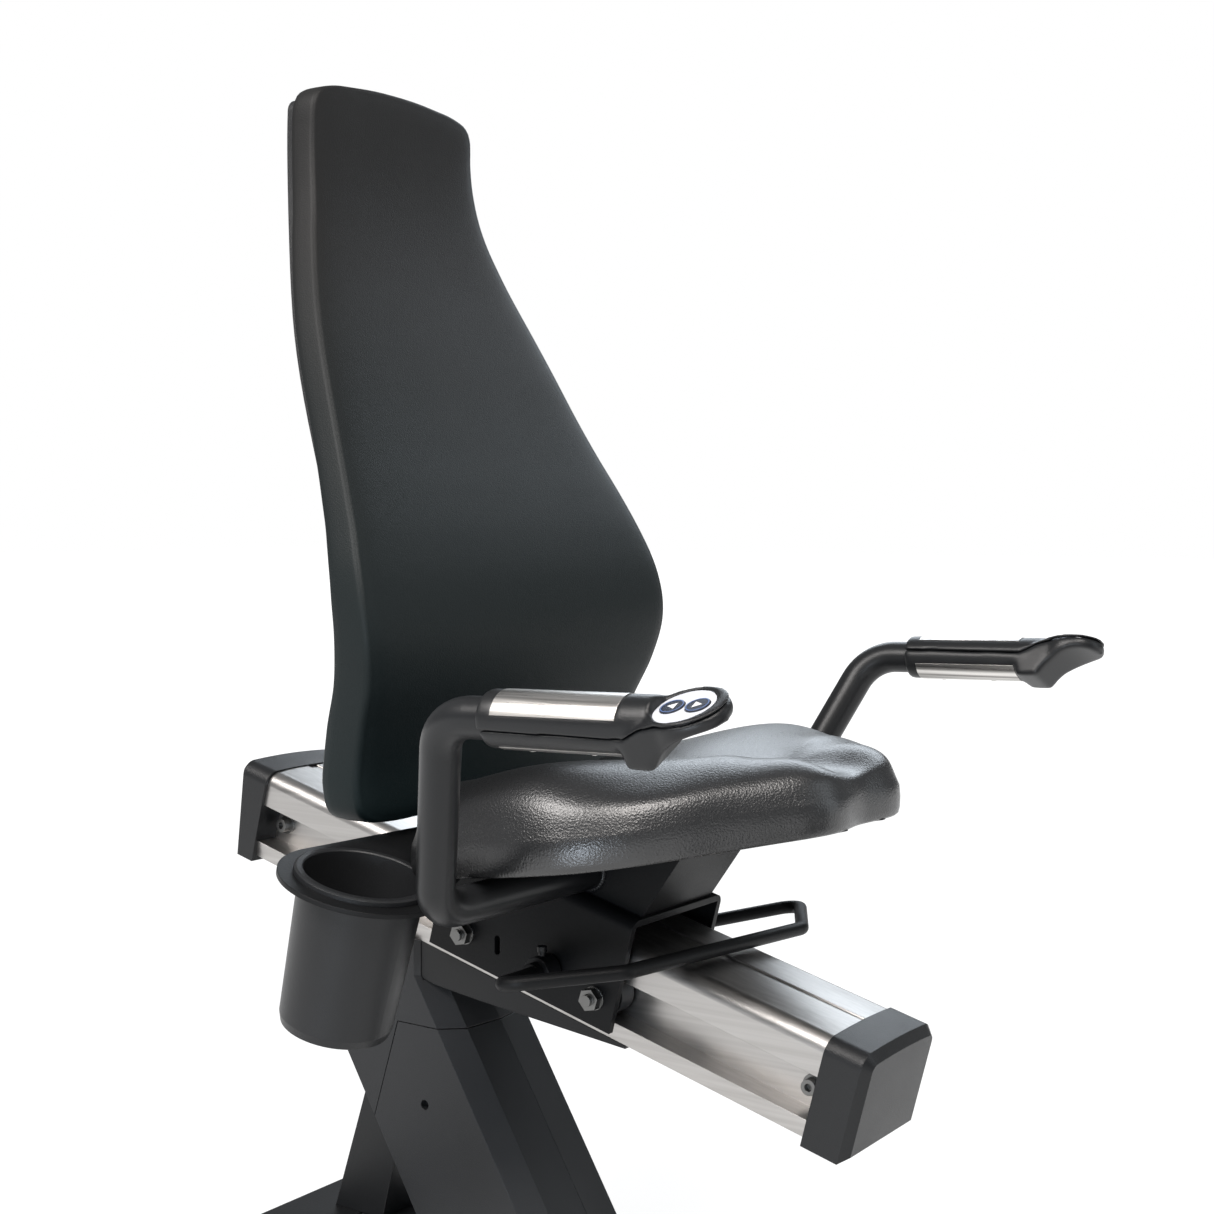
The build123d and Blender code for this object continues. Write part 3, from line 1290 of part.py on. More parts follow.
def crank_arm(side):
    """A forged crank arm; the left one points up and the right one down."""
    inner, outer = side * CRANK_FACE, side * (CRANK_FACE + CRANK_ARM)
    tip = (CRANK[0], CRANK[1] + side * CRANK_LENGTH)
    with BuildSketch(Plane.XZ.offset(-max(inner, outer))) as arm_outline:
        with Locations(CRANK):
            Circle(21)
        with Locations(tip):
            Circle(15)
        with BuildLine():
            Polyline(
                (CRANK[0] - 17, CRANK[1] + side * 12),
                (tip[0] - 12, tip[1] - side * 8),
                (tip[0] + 12, tip[1] - side * 8),
                (CRANK[0] + 17, CRANK[1] + side * 12),
                close=True,
            )
        make_face()
    extrude(to_extrude=arm_outline.sketch, amount=CRANK_ARM)
    bore_in, bore_out = side * (CRANK_FACE - 15), side * (CRANK_FACE + CRANK_ARM + 15)
    across(CRANK, CRANK_AXLE / 2, bore_in, bore_out, Mode.SUBTRACT)
    across(tip, PEDAL_SPINDLE / 2 + RUNNING_FIT, bore_in, bore_out, Mode.SUBTRACT)


with BuildPart() as crank_arm_right:
    crank_arm(-1)

with BuildPart() as crank_arm_left:
    crank_arm(1)


def pedal(side):
    """A wide platform pedal with an open cage, on its spindle."""
    axis = (CRANK[0], CRANK[1] + side * CRANK_LENGTH)
    start = side * (CRANK_FACE + CRANK_ARM + 4)
    end = start + side * PEDAL_WIDTH
    y0, y1 = min(start, end), max(start, end)
    half = PEDAL_LENGTH / 2
    x, z = axis
    tread = [
        (x - half, z - 6),
        (x - half + 8, z - 12),
        (x + half - 8, z - 12),
        (x + half, z - 6),
        (x + half, z + 8),
        (x + half - 6, z + 12),
        (x - half + 6, z + 12),
        (x - half, z + 8),
    ]
    prism(tread, y0, y1)
    for window in (-1, 1):
        block(x + window * 15, x + window * (half - 12), y0 + 12, y1 - 12, z - 20, z + 20, Mode.SUBTRACT)
    across(axis, PEDAL_SPINDLE / 2, side * CRANK_FACE, start)
    across(axis, PEDAL_COLLAR, side * (CRANK_FACE + CRANK_ARM + SEAT_GAP), start)


with BuildPart() as pedal_right:
    pedal(-1)

with BuildPart() as pedal_left:
    pedal(1)


def pedal_strap(side):
    """A heel-and-toe strap that arches over the front half of a pedal."""
    x, z = CRANK[0], CRANK[1] + side * CRANK_LENGTH
    start = side * (CRANK_FACE + CRANK_ARM + 4)
    middle = start + side * PEDAL_WIDTH / 2
    plane = Plane(origin=(x + PEDAL_COLLAR + 3, middle, z), x_dir=(0, 1, 0), z_dir=(1, 0, 0))
    half = PEDAL_WIDTH / 2
    with BuildSketch(plane) as loop:
        with BuildLine():
            Line((-half - 0.3, -8), (-half - 0.3, 18))
            ThreePointArc((-half - 0.3, 18), (0, 66), (half + 0.3, 18))
            Line((half + 0.3, 18), (half + 0.3, -8))
            Line((half + 0.3, -8), (half + 3.3, -8))
            Line((half + 3.3, -8), (half + 3.3, 19))
            ThreePointArc((half + 3.3, 19), (0, 69), (-half - 3.3, 19))
            Line((-half - 3.3, 19), (-half - 3.3, -8))
            Line((-half - 3.3, -8), (-half - 0.3, -8))
        make_face()
    extrude(to_extrude=loop.sketch, amount=STRAP_WIDTH)


with BuildPart() as pedal_strap_right:
    pedal_strap(-1)

with BuildPart() as pedal_strap_left:
    pedal_strap(1)

with BuildPart() as drive_pulley:
    across(CRANK, PULLEY_DIAMETER / 2, BELT_Y, BELT_Y + BELT_WIDTH)
    for face in (0, 1):
        y = BELT_Y + face * (BELT_WIDTH - 4)
        across(CRANK, PULLEY_DIAMETER / 2 - 12, y, y + 4, Mode.SUBTRACT)
    across(CRANK, 24, SHELL_LEFT + 1, BELT_Y + BELT_WIDTH + 4)
    for turn in range(6):
        angle = radians(60 * turn)
        hole = (CRANK[0] + 66 * cos(angle), CRANK[1] + 66 * sin(angle))
        across(hole, 20, BELT_Y - 1, BELT_Y + BELT_WIDTH + 1, Mode.SUBTRACT)
    across(CRANK, CRANK_AXLE / 2, 0, 60, Mode.SUBTRACT)

with BuildPart() as flywheel:
    across(FLYWHEEL, FLYWHEEL_DIAMETER / 2, -FLYWHEEL_THICKNESS - 4, -4)
    for start in (-FLYWHEEL_THICKNESS - 5, -10):
        across(FLYWHEEL, FLYWHEEL_DIAMETER / 2 - 20, start, start + 7, Mode.SUBTRACT)
    across(FLYWHEEL, 22, -FLYWHEEL_THICKNESS - 4, 0)
    across(FLYWHEEL, FLYWHEEL_SHAFT / 2, -FLYWHEEL_THICKNESS - 14, BELT_Y + BELT_WIDTH + 6)
    across(FLYWHEEL, SMALL_PULLEY / 2, BELT_Y, BELT_Y + BELT_WIDTH)

with BuildPart() as drive_belt:
    for grow, mode in ((BELT_GAP + BELT_THICKNESS, Mode.ADD), (BELT_GAP, Mode.SUBTRACT)):
        with BuildSketch(Plane.XZ.offset(-BELT_Y - BELT_WIDTH)) as loop:
            with Locations(CRANK):
                Circle(PULLEY_DIAMETER / 2 + grow)
            with Locations(FLYWHEEL):
                Circle(SMALL_PULLEY / 2 + grow)
            make_hull()
        extrude(to_extrude=loop.sketch, amount=BELT_WIDTH, mode=mode)

MAGNET_GAP = 3.0
with BuildPart() as brake_magnets:
    with BuildSketch(Plane.XZ.offset(5)) as shoe:
        with Locations(FLYWHEEL):
            Circle(FLYWHEEL_DIAMETER / 2 + MAGNET_GAP + 14)
            Circle(FLYWHEEL_DIAMETER / 2 + MAGNET_GAP, mode=Mode.SUBTRACT)
        wedge_x, wedge_z = FLYWHEEL
        with BuildLine():
            Polyline(
                (wedge_x, wedge_z),
                (wedge_x - 200, wedge_z - 200),
                (wedge_x - 20, wedge_z - 240),
                close=True,
            )
        make_face(mode=Mode.INTERSECT)
    extrude(to_extrude=shoe.sketch, amount=FLYWHEEL_THICKNESS - 2)
    arm_x, arm_z = FLYWHEEL[0] - 70, FLYWHEEL[1] - 114
    block(arm_x - 8, arm_x + 8, -FLYWHEEL_THICKNESS, PLATE_Y, arm_z - 9, arm_z + 5)

# ---------------------------------------------------------------- housing and console
HOUSING_HALF = HOUSING_WIDTH / 2
HOUSING_TOP = 330.0
CRANK_OPENING = CRANK_BEARING - 4.0
HOUSING_POINTS = [
    (CRANK_REACH - 135, BEAM_LEVEL),
    (CRANK_REACH - 174, -60),
    (CRANK_REACH - 150, 70),
    (CRANK_REACH - 50, 170),
    (MAST_LOW[0] - 50, HOUSING_TOP),
    (MAST_LOW[0] + 50, HOUSING_TOP),
    (FRONT_REACH - 80, 110),
    (FRONT_REACH - 4, -20),
    (FRONT_REACH - 24, -190),
    (FRONT_REACH - 90, BEAM_LEVEL),
]


def housing(side):
    """One moulded half of the drive housing, hollow, split along the bike's middle."""
    with BuildSketch(Plane.XZ) as outline:
        with BuildLine():
            Polyline(*[at(*point) for point in HOUSING_POINTS], close=True)
        make_face()
        neck_level = RAIL_Z + HOUSING_TOP - 1
        fillet([v for v in outline.vertices() if BEAM_TOP + 1 < v.Y < neck_level], 60)
    amount = -side * HOUSING_HALF
    extrude(to_extrude=outline.sketch, amount=amount)
    rim = faces().filter_by(Axis.Y).sort_by(Axis.Y)[-1 if side > 0 else 0]
    chamfer(rim.edges(), length=14, length2=9)
    with BuildSketch(Plane.XZ) as inside:
        add(outline.sketch)
        offset(amount=-14 - HOUSING_WALL, mode=Mode.REPLACE)
    extrude(to_extrude=inside.sketch, amount=-side * (HOUSING_HALF - HOUSING_WALL), mode=Mode.SUBTRACT)
    across(CRANK, CRANK_OPENING, 0, side * (HOUSING_HALF + 1), Mode.SUBTRACT)
    foot_rear, foot_front = at(CRANK_REACH - 76, 0)[0], at(CRANK_REACH + 178, 0)[0]
    block(foot_rear, foot_front, -31, 31, BEAM_TOP - 1, BEAM_TOP + 30, Mode.SUBTRACT)


with BuildPart() as housing_right:
    housing(-1)

with BuildPart() as housing_left:
    housing(1)

MAST_LEAN = degrees(atan2(MAST_HIGH[0] - MAST_LOW[0], MAST_HIGH[1] - MAST_LOW[1]))


def mast_line(level):
    """Forward place of the mast's axis at a height above the datum."""
    return MAST_LOW[0] + (level - MAST_LOW[1]) * tan(radians(MAST_LEAN))


def mast_rod(radius, low, high, mode=Mode.ADD):
    """A rod along the mast's axis between two heights above the datum."""
    start, end = at(mast_line(low), low), at(mast_line(high), high)
    rise = Vector(end[0] - start[0], 0, end[1] - start[1])
    with BuildSketch(Plane(origin=(start[0], 0, start[1]), x_dir=(0, 1, 0), z_dir=rise)) as section:
        Circle(radius)
    extrude(to_extrude=section.sketch, amount=rise.length, mode=mode)


with BuildPart() as console_mast:
    mast_rod(MAST_DIAMETER / 2, MAST_LOW[1] - 20, MAST_HIGH[1])
    mast_rod(MAST_DIAMETER / 2 - TUBE_WALL, MAST_LOW[1] - 21, MAST_HIGH[1] - TUBE_WALL, Mode.SUBTRACT)
    below = 2 * MAST_DIAMETER
    block(mast_x - below, mast_x + below, -below, below, RAIL_Z, RAIL_Z + MAST_LOW[1], Mode.SUBTRACT)

for half_housing in (housing_right, housing_left):
    with half_housing:
        mast_rod(MAST_DIAMETER / 2 + 1, MAST_LOW[1] - 30, HOUSING_TOP + 30, Mode.SUBTRACT)

CONSOLE_FACE = (MAST_HIGH[0] - 12.0, MAST_HIGH[1] + 52.0)
tilt = radians(CONSOLE_TILT)
CONSOLE = Plane(
    origin=(RAIL_X + CONSOLE_FACE[0], 0, RAIL_Z + CONSOLE_FACE[1]),
    x_dir=(0, -1, 0),
    z_dir=(-cos(tilt), 0, sin(tilt)),
)
SCREEN_WIDTH, SCREEN_HEIGHT = 290.0, 176.0
SCREEN_SKIN = 4.0
with BuildPart() as console_body:
    with BuildSketch(CONSOLE):
        RectangleRounded(CONSOLE_WIDTH, CONSOLE_HEIGHT, 26)
    extrude(amount=-CONSOLE_DEPTH)
    back = faces().sort_by(Axis((0, 0, 0), (-cos(tilt), 0, sin(tilt))))[0]
    chamfer(back.edges(), length=16)
    mast_rod(MAST_DIAMETER / 2 + 10, MAST_HIGH[1] - MAST_SOCKET, MAST_HIGH[1] + 8)
    with BuildSketch(CONSOLE) as screen_seat:
        with Locations((0, 18)):
            RectangleRounded(SCREEN_WIDTH, SCREEN_HEIGHT, 8)
    extrude(to_extrude=screen_seat.sketch, amount=-SCREEN_SKIN, mode=Mode.SUBTRACT)
    extrude(to_extrude=screen_seat.sketch, amount=200, mode=Mode.SUBTRACT)
    add(console_mast.part, mode=Mode.SUBTRACT)
    mast_rod(MAST_DIAMETER / 2 - 1, MAST_HIGH[1] - 2 * MAST_SOCKET, MAST_HIGH[1] - 1, Mode.SUBTRACT)

with BuildPart() as console_screen:
    with BuildSketch(CONSOLE):
        with Locations((0, 18)):
            RectangleRounded(SCREEN_WIDTH, SCREEN_HEIGHT, 8)
    extrude(amount=-SCREEN_SKIN)

BAR_LEVEL = 610.0
BAR_BEND = 40.0
BAR_SPREAD = 230.0
with BuildPart() as front_handlebar:
    with BuildLine() as bar_line:
        mast_rear = mast_line(BAR_LEVEL) - MAST_DIAMETER / 2 / cos(radians(MAST_LEAN))
        cross_x = mast_rear - HANDLE_TUBE / 2 - SEAT_GAP
        right_half = [
            (CRANK_REACH - 110, -BAR_SPREAD, BAR_LEVEL + 90),
            (CRANK_REACH - 10, -BAR_SPREAD, BAR_LEVEL + 22),
            (cross_x, -120, BAR_LEVEL),
        ]
        left_half = [(x, -y, z) for x, y, z in reversed(right_half)]
        FilletPolyline(
            *[(RAIL_X + x, y, RAIL_Z + z) for x, y, z in right_half + left_half],
            radius=BAR_BEND,
        )
    with BuildSketch(Plane(origin=bar_line.line @ 0, z_dir=bar_line.line % 0)):
        Circle(HANDLE_TUBE / 2)
    sweep()

# ---------------------------------------------------------------- files
SUBPARTS = dict(
    rail=rail,
    rail_cap_front=rail_cap_front,
    rail_cap_rear=rail_cap_rear,
    rail_bracket=rail_bracket,
    main_leg=main_leg,
    rear_leg=rear_leg,
    leg_collar=leg_collar,
    leg_shroud_right=leg_shroud_right,
    leg_shroud_left=leg_shroud_left,
    socket_screws=socket_screws,
    rear_stabilizer=rear_stabilizer,
    front_stabilizer=front_stabilizer,
    transport_wheels=transport_wheels,
    base_beam=base_beam,
    stabilizer_feet=stabilizer_feet,
    saddle=saddle,
    rollers_rear=rollers_rear,
    rollers_front=rollers_front,
    roller_bolts=roller_bolts,
    lever_bail=lever_bail,
    lever_collars=lever_collars,
    seat_post=seat_post,
    seat_pan=seat_pan,
    seat_cushion=seat_cushion,
    back_cushion=back_cushion,
    back_shell=back_shell,
    back_frame=back_frame,
    handle_tube_right=handle_tube_right,
    handle_tube_left=handle_tube_left,
    grip_upper_right=grip_upper_right,
    grip_lower_right=grip_lower_right,
    grip_upper_left=grip_upper_left,
    grip_lower_left=grip_lower_left,
    pulse_plates=pulse_plates,
    keypads=keypads,
    button_right_rear=button_right_rear,
    button_right_front=button_right_front,
    button_left_rear=button_left_rear,
    button_left_front=button_left_front,
    cup_bracket=cup_bracket,
    cup_holder=cup_holder,
    drive_frame=drive_frame,
    drive_bearings=drive_bearings,
    crank_axle=crank_axle,
    crank_arm_right=crank_arm_right,
    crank_arm_left=crank_arm_left,
    pedal_right=pedal_right,
    pedal_left=pedal_left,
    pedal_strap_right=pedal_strap_right,
    pedal_strap_left=pedal_strap_left,
    drive_pulley=drive_pulley,
    flywheel=flywheel,
    drive_belt=drive_belt,
    brake_magnets=brake_magnets,
    housing_right=housing_right,
    housing_left=housing_left,
    console_mast=console_mast,
    console_body=console_body,
    console_screen=console_screen,
    front_handlebar=front_handlebar,
)
for name, sub_part in SUBPARTS.items():
    save(sub_part, name)
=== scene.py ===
"""Looks for a recumbent exercise bike, in metres, in the frame of its CAD model.

+X is the way the rider faces, +Y is the rider's left, +Z is up, and the floor is at Z = 0.
"""
import json
import math

import bmesh
import bpy
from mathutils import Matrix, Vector
from mathutils.bvhtree import BVHTree


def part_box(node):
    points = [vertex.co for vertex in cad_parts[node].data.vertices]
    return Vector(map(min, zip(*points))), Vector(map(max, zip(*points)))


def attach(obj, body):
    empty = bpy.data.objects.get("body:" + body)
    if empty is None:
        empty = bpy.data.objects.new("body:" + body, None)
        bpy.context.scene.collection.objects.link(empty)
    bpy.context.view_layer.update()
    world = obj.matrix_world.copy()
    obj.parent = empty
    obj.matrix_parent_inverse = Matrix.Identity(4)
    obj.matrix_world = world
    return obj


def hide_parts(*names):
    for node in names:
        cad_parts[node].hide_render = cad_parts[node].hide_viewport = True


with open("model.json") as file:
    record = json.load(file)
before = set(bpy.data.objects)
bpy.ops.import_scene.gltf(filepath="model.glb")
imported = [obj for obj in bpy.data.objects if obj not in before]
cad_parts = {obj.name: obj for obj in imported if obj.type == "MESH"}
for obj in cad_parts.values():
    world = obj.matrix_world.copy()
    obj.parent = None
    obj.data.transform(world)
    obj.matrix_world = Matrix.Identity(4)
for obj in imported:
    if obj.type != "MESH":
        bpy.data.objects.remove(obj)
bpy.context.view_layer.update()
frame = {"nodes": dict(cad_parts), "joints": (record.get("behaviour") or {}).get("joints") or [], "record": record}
NODES, RECORD = frame["nodes"], frame["record"]
JOINTS = {joint["name"]: joint for joint in frame["joints"]}

# ------------------------------------------------------------------ places taken from the frame
RAIL_DEPTH = 0.087        # of the extrusion, square to its slope
RAIL_DIR = Vector(JOINTS["seat_slide"]["axis"]).normalized()
RAIL_UP = Vector((-RAIL_DIR.z, 0, RAIL_DIR.x))
RAIL_TILT = math.atan2(-RAIL_DIR.z, RAIL_DIR.x)
_low, _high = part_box("rail")
DATUM = (_low + _high) / 2 + RAIL_UP * RAIL_DEPTH / 2     # middle of the rail's top


def at(x, y, z):
    """A point given forward of, left of and above the middle of the rail's top."""
    return DATUM + Vector((x, y, z))


def centre_of(node):
    """Middle of a CAD node's box."""
    low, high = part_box(node)
    return (low + high) / 2


# ------------------------------------------------------------------ shader toolkit
class Value:
    """A shader socket that takes part in Python sums; each operator adds a Math node."""

    def __init__(self, finish, socket):
        self.finish, self.socket = finish, socket

    def __add__(self, other):
        return self.finish.maths("ADD", self, other)

    def __sub__(self, other):
        return self.finish.maths("SUBTRACT", self, other)

    def __rsub__(self, other):
        return self.finish.maths("SUBTRACT", other, self)

    def __mul__(self, other):
        return self.finish.maths("MULTIPLY", self, other)

    def __truediv__(self, other):
        return self.finish.maths("DIVIDE", self, other)

    __radd__, __rmul__ = __add__, __mul__


class Finish:
    """A node material under construction."""

    def __init__(self, name, tree=None):
        if tree is None:
            self.material = bpy.data.materials.new(name)
            self.material.use_nodes = True
            tree = self.material.node_tree
        self.tree = tree
        self.tree.nodes.clear()
        self.place = None

    def node(self, kind, settings=None, inputs=None, result=0):
        """Add a node: its type, its settings, and the values or links of its sockets."""
        whole = kind.startswith(("Geometry", "Function", "NodeGroup"))
        made = self.tree.nodes.new(kind if whole else "ShaderNode" + kind)
        for key, value in (settings or {}).items():
            if key == "stops":
                ramp = made.color_ramp
                while len(ramp.elements) < len(value):
                    ramp.elements.new(1.0)
                for element, (position, shade) in zip(ramp.elements, value):
                    element.position = position
                    element.color = shade if hasattr(shade, "__len__") else (shade, shade, shade, 1)
            else:
                setattr(made, key, value)
        for key, value in (inputs or {}).items():
            if isinstance(value, (list, tuple)) and value and isinstance(value[0], Value):
                for one in value:
                    self.tree.links.new(one.socket, made.inputs[key])
            elif isinstance(value, Value):
                self.tree.links.new(value.socket, made.inputs[key])
            else:
                made.inputs[key].default_value = value
        return Value(self, made.outputs[result]) if made.outputs else None

    def maths(self, operation, first, second=0.0):
        return self.node("Math", {"operation": operation}, {0: first, 1: second})

    def clamped(self, value):
        """The value, kept between 0 and 1."""
        return self.maths("MINIMUM", self.maths("MAXIMUM", value, 0.0), 1.0)

    def coordinates(self, scale=(1, 1, 1), turn=0.0):
        """Object coordinates in metres, turned about Y and stretched."""
        if self.place is None:
            self.place = self.node("TexCoord", result=3)
        if scale == (1, 1, 1) and not turn:
            return self.place
        inputs = {"Vector": self.place, "Rotation": (0, turn, 0), "Scale": scale}
        return self.node("Mapping", {"vector_type": "POINT"}, inputs)

    def grain(self, scale, detail=2.0, rough=0.5, where=None):
        """Noise from 0 to 1."""
        inputs = {"Vector": where or self.coordinates(), "Scale": scale, "Detail": detail, "Roughness": rough}
        return self.node("TexNoise", None, inputs)

    def cells(self, scale, feature="F1", where=None):
        """Distance from the nearest cell point."""
        inputs = {"Vector": where or self.coordinates(), "Scale": scale}
        return self.node("TexVoronoi", {"feature": feature}, inputs)

    def ramp(self, value, *stops):
        return self.node("ValToRGB", {"stops": stops}, {"Fac": value})

    def between(self, share, first, second):
        """Mix two colours."""
        settings = {"data_type": "RGBA"}
        inputs = {0: share, 6: first, 7: second}
        return self.node("Mix", settings, inputs, result=2)

    def height(self):
        """Height above the floor, in metres."""
        return self.node("SeparateXYZ", None, {0: self.coordinates()}, result=2)

    def relief(self, height, depth, strength=1.0, edge=0.0):
        """Bump by a height from 0 to 1, on edges softened to a radius."""
        inputs = {"Height": height, "Distance": depth, "Strength": strength}
        if edge:
            inputs["Normal"] = self.node("Bevel", {"samples": 4}, {"Radius": edge})
        return self.node("Bump", None, inputs)

    def surface(self, colour, roughness, **others):
        """Close the material with its shader."""
        inputs = {"Base Color": colour, "Roughness": roughness}
        inputs.update({key.replace("_", " "): value for key, value in others.items()})
        shader = self.node("BsdfPrincipled", None, inputs)
        self.node("OutputMaterial", None, {"Surface": shader})
        return self.material


def grey(level, tint=(1.0, 1.0, 1.0)):
    return (level * tint[0], level * tint[1], level * tint[2], 1)


COOL = (0.93, 0.98, 1.06)


def powder_coat(name, level, roughness, orange_peel=0.5, sheen=0.34):
    """Powder-coated steel: faint orange peel, a cloudy level and softened corners."""
    finish = Finish(name)
    peel = finish.grain(520, detail=3)
    cloud = finish.grain(9, detail=4)
    colour = finish.between(cloud, grey(level * 0.8, COOL), grey(level * 1.2, COOL))
    rough = roughness + (cloud - 0.5) * 0.12 + (peel - 0.5) * 0.1
    bump = finish.relief(peel, 0.00016, orange_peel, 0.0012)
    return finish.surface(colour, rough, Normal=bump, Specular_IOR_Level=sheen)


def moulded(name, level, roughness, tint=COOL, spark=1.0, fine=1500, sheen=0.38):
    """Moulded plastic with a spark-eroded texture."""
    finish = Finish(name)
    pits = finish.cells(fine)
    cloud = finish.grain(14, detail=5)
    speck = finish.grain(fine * 0.6, detail=2)
    colour = finish.between(cloud, grey(level * 0.82, tint), grey(level * 1.18, tint))
    rough = roughness + (cloud - 0.5) * 0.14 + (speck - 0.5) * 0.12
    bump = finish.relief(pits + speck, 0.00012, spark, 0.001)
    return finish.surface(colour, rough, Normal=bump, Specular_IOR_Level=sheen)


PAINTED_TONE_LOW, PAINTED_TONE_REACH = 0.47, 0.5     # height where the vinyl's painted low tone, which stands in for light, starts to fade, and over how much


def vinyl(name, cell, depth, roughness, painted_low_tone, sheen):
    """Embossed vinyl over foam: pebbled cells with creases between them, and a painted low tone towards the floor
    that stands in for light.
    """
    finish = Finish(name)
    warp = finish.grain(60, detail=2)
    pebbles = finish.cells(1 / cell, "SMOOTH_F1")
    small = finish.cells(2.3 / cell)
    patches = finish.grain(7, detail=4)
    crown = 1 - finish.maths("MINIMUM", pebbles * 1.35, 1.0)
    relief = crown * 0.8 + small * -0.25 + warp * 0.2
    # Painted light: low down the colour turns to a painted low tone (a teal painted sheen on the backrest, a
    # darker painted shade on the seat) that fades out with height.
    rise = finish.clamped((finish.height() - PAINTED_TONE_LOW) / PAINTED_TONE_REACH)
    black = finish.between(patches, grey(0.0105), grey(0.0165))
    colour = finish.between(rise, painted_low_tone, black)
    rough = roughness + (patches - 0.5) * 0.1 + pebbles * 0.14
    bump = finish.relief(relief, depth, 0.9)
    return finish.surface(colour, rough, Normal=bump, Specular_IOR_Level=sheen)


def anodised(name):
    """Satin anodised extrusion: fine die lines along the rail and soft cloudy streaks."""
    finish = Finish(name)
    along = finish.coordinates((1.6, 240, 240), -RAIL_TILT)
    fine = finish.coordinates((5, 1500, 1500), -RAIL_TILT)
    streak = finish.grain(1.0, detail=3, where=along)
    lines = finish.grain(1.0, detail=2, where=fine)
    cloud = finish.grain(6, detail=3)
    colour = finish.between(streak, grey(0.36, (1.0, 0.965, 0.93)), grey(0.6, (1.0, 0.975, 0.95)))
    rough = 0.2 + streak * 0.14 + lines * 0.1 + cloud * 0.08
    return finish.surface(colour, rough, Metallic=1.0, Normal=finish.relief(lines, 0.00003, 0.4, 0.0008))


def brushed(name):
    """Brushed stainless plate, grained along the armrest."""
    finish = Finish(name)
    band = finish.grain(1.0, detail=1, where=finish.coordinates((2.5, 150, 150)))
    streak = finish.grain(1.0, detail=4, where=finish.coordinates((4, 420, 420)))
    hair = finish.grain(1.0, detail=2, where=finish.coordinates((14, 2600, 2600)))
    depth = finish.ramp(band * 0.7 + streak * 0.3, (0.36, 0.0), (0.5, 0.45), (0.64, 1.0))
    colour = finish.between(depth, grey(0.26, (1.0, 0.96, 0.92)), grey(0.92, (1.0, 0.97, 0.93)))
    rough = 0.15 + streak * 0.2 + hair * 0.1
    return finish.surface(colour, rough, Metallic=1.0, Normal=finish.relief(hair, 0.00002, 0.5, 0.0004))


def plated(name, level, roughness):
    """Zinc-plated or ground steel with a cloudy finish."""
    tint = (1.0, 1.0, 0.98)
    finish = Finish(name)
    cloud = finish.grain(160, detail=4)
    colour = finish.between(cloud, grey(level * 0.75, tint), grey(level * 1.15, tint))
    return finish.surface(colour, roughness + cloud * 0.16, Metallic=1.0,
                          Normal=finish.relief(cloud, 0.00004, 0.5, 0.0005))


def cast(name):
    """Turned cast iron."""
    finish = Finish(name)
    sand = finish.grain(700, detail=4)
    cloud = finish.grain(20, detail=4)
    colour = finish.between(cloud, grey(0.16), grey(0.3))
    bump = finish.relief(sand, 0.0002, 0.6, 0.0008)
    return finish.surface(colour, 0.42 + sand * 0.2, Metallic=1.0, Normal=bump)


def rubber(name, level=0.018):
    """Matt rubber with a dusty bloom."""
    finish = Finish(name)
    bloom = finish.grain(30, detail=5)
    speck = finish.grain(900, detail=2)
    colour = finish.between(bloom, grey(level * 0.8), grey(level * 1.6))
    return finish.surface(colour, 0.62 + bloom * 0.2, Normal=finish.relief(speck, 0.0002, 0.7, 0.001))


def overlay(name):
    """Light grey printed overlay with a fine matt texture."""
    finish = Finish(name)
    speck = finish.cells(2600)
    cloud = finish.grain(40, detail=3)
    colour = finish.between(cloud, grey(0.5, (0.95, 0.98, 1.07)), grey(0.62, (0.96, 0.99, 1.06)))
    return finish.surface(colour, 0.36 + cloud * 0.12, Normal=finish.relief(speck, 0.00003, 0.5, 0.0003))


def ink(name, colour):
    """Printed ink, barely mottled."""
    finish = Finish(name)
    mottle = finish.grain(900, detail=3)
    deep = tuple(c * 0.88 for c in colour[:3]) + (1,)
    return finish.surface(finish.between(mottle, deep, colour), 0.4 + mottle * 0.1)


def screen_glass(name):
    """Dark cover glass with the faintest smears."""
    finish = Finish(name)
    smear = finish.grain(11, detail=6, rough=0.7)
    colour = finish.between(smear, (0.004, 0.005, 0.007, 1), (0.007, 0.008, 0.011, 1))
    return finish.surface(colour, 0.04 + smear * 0.08, Coat_Weight=1.0)


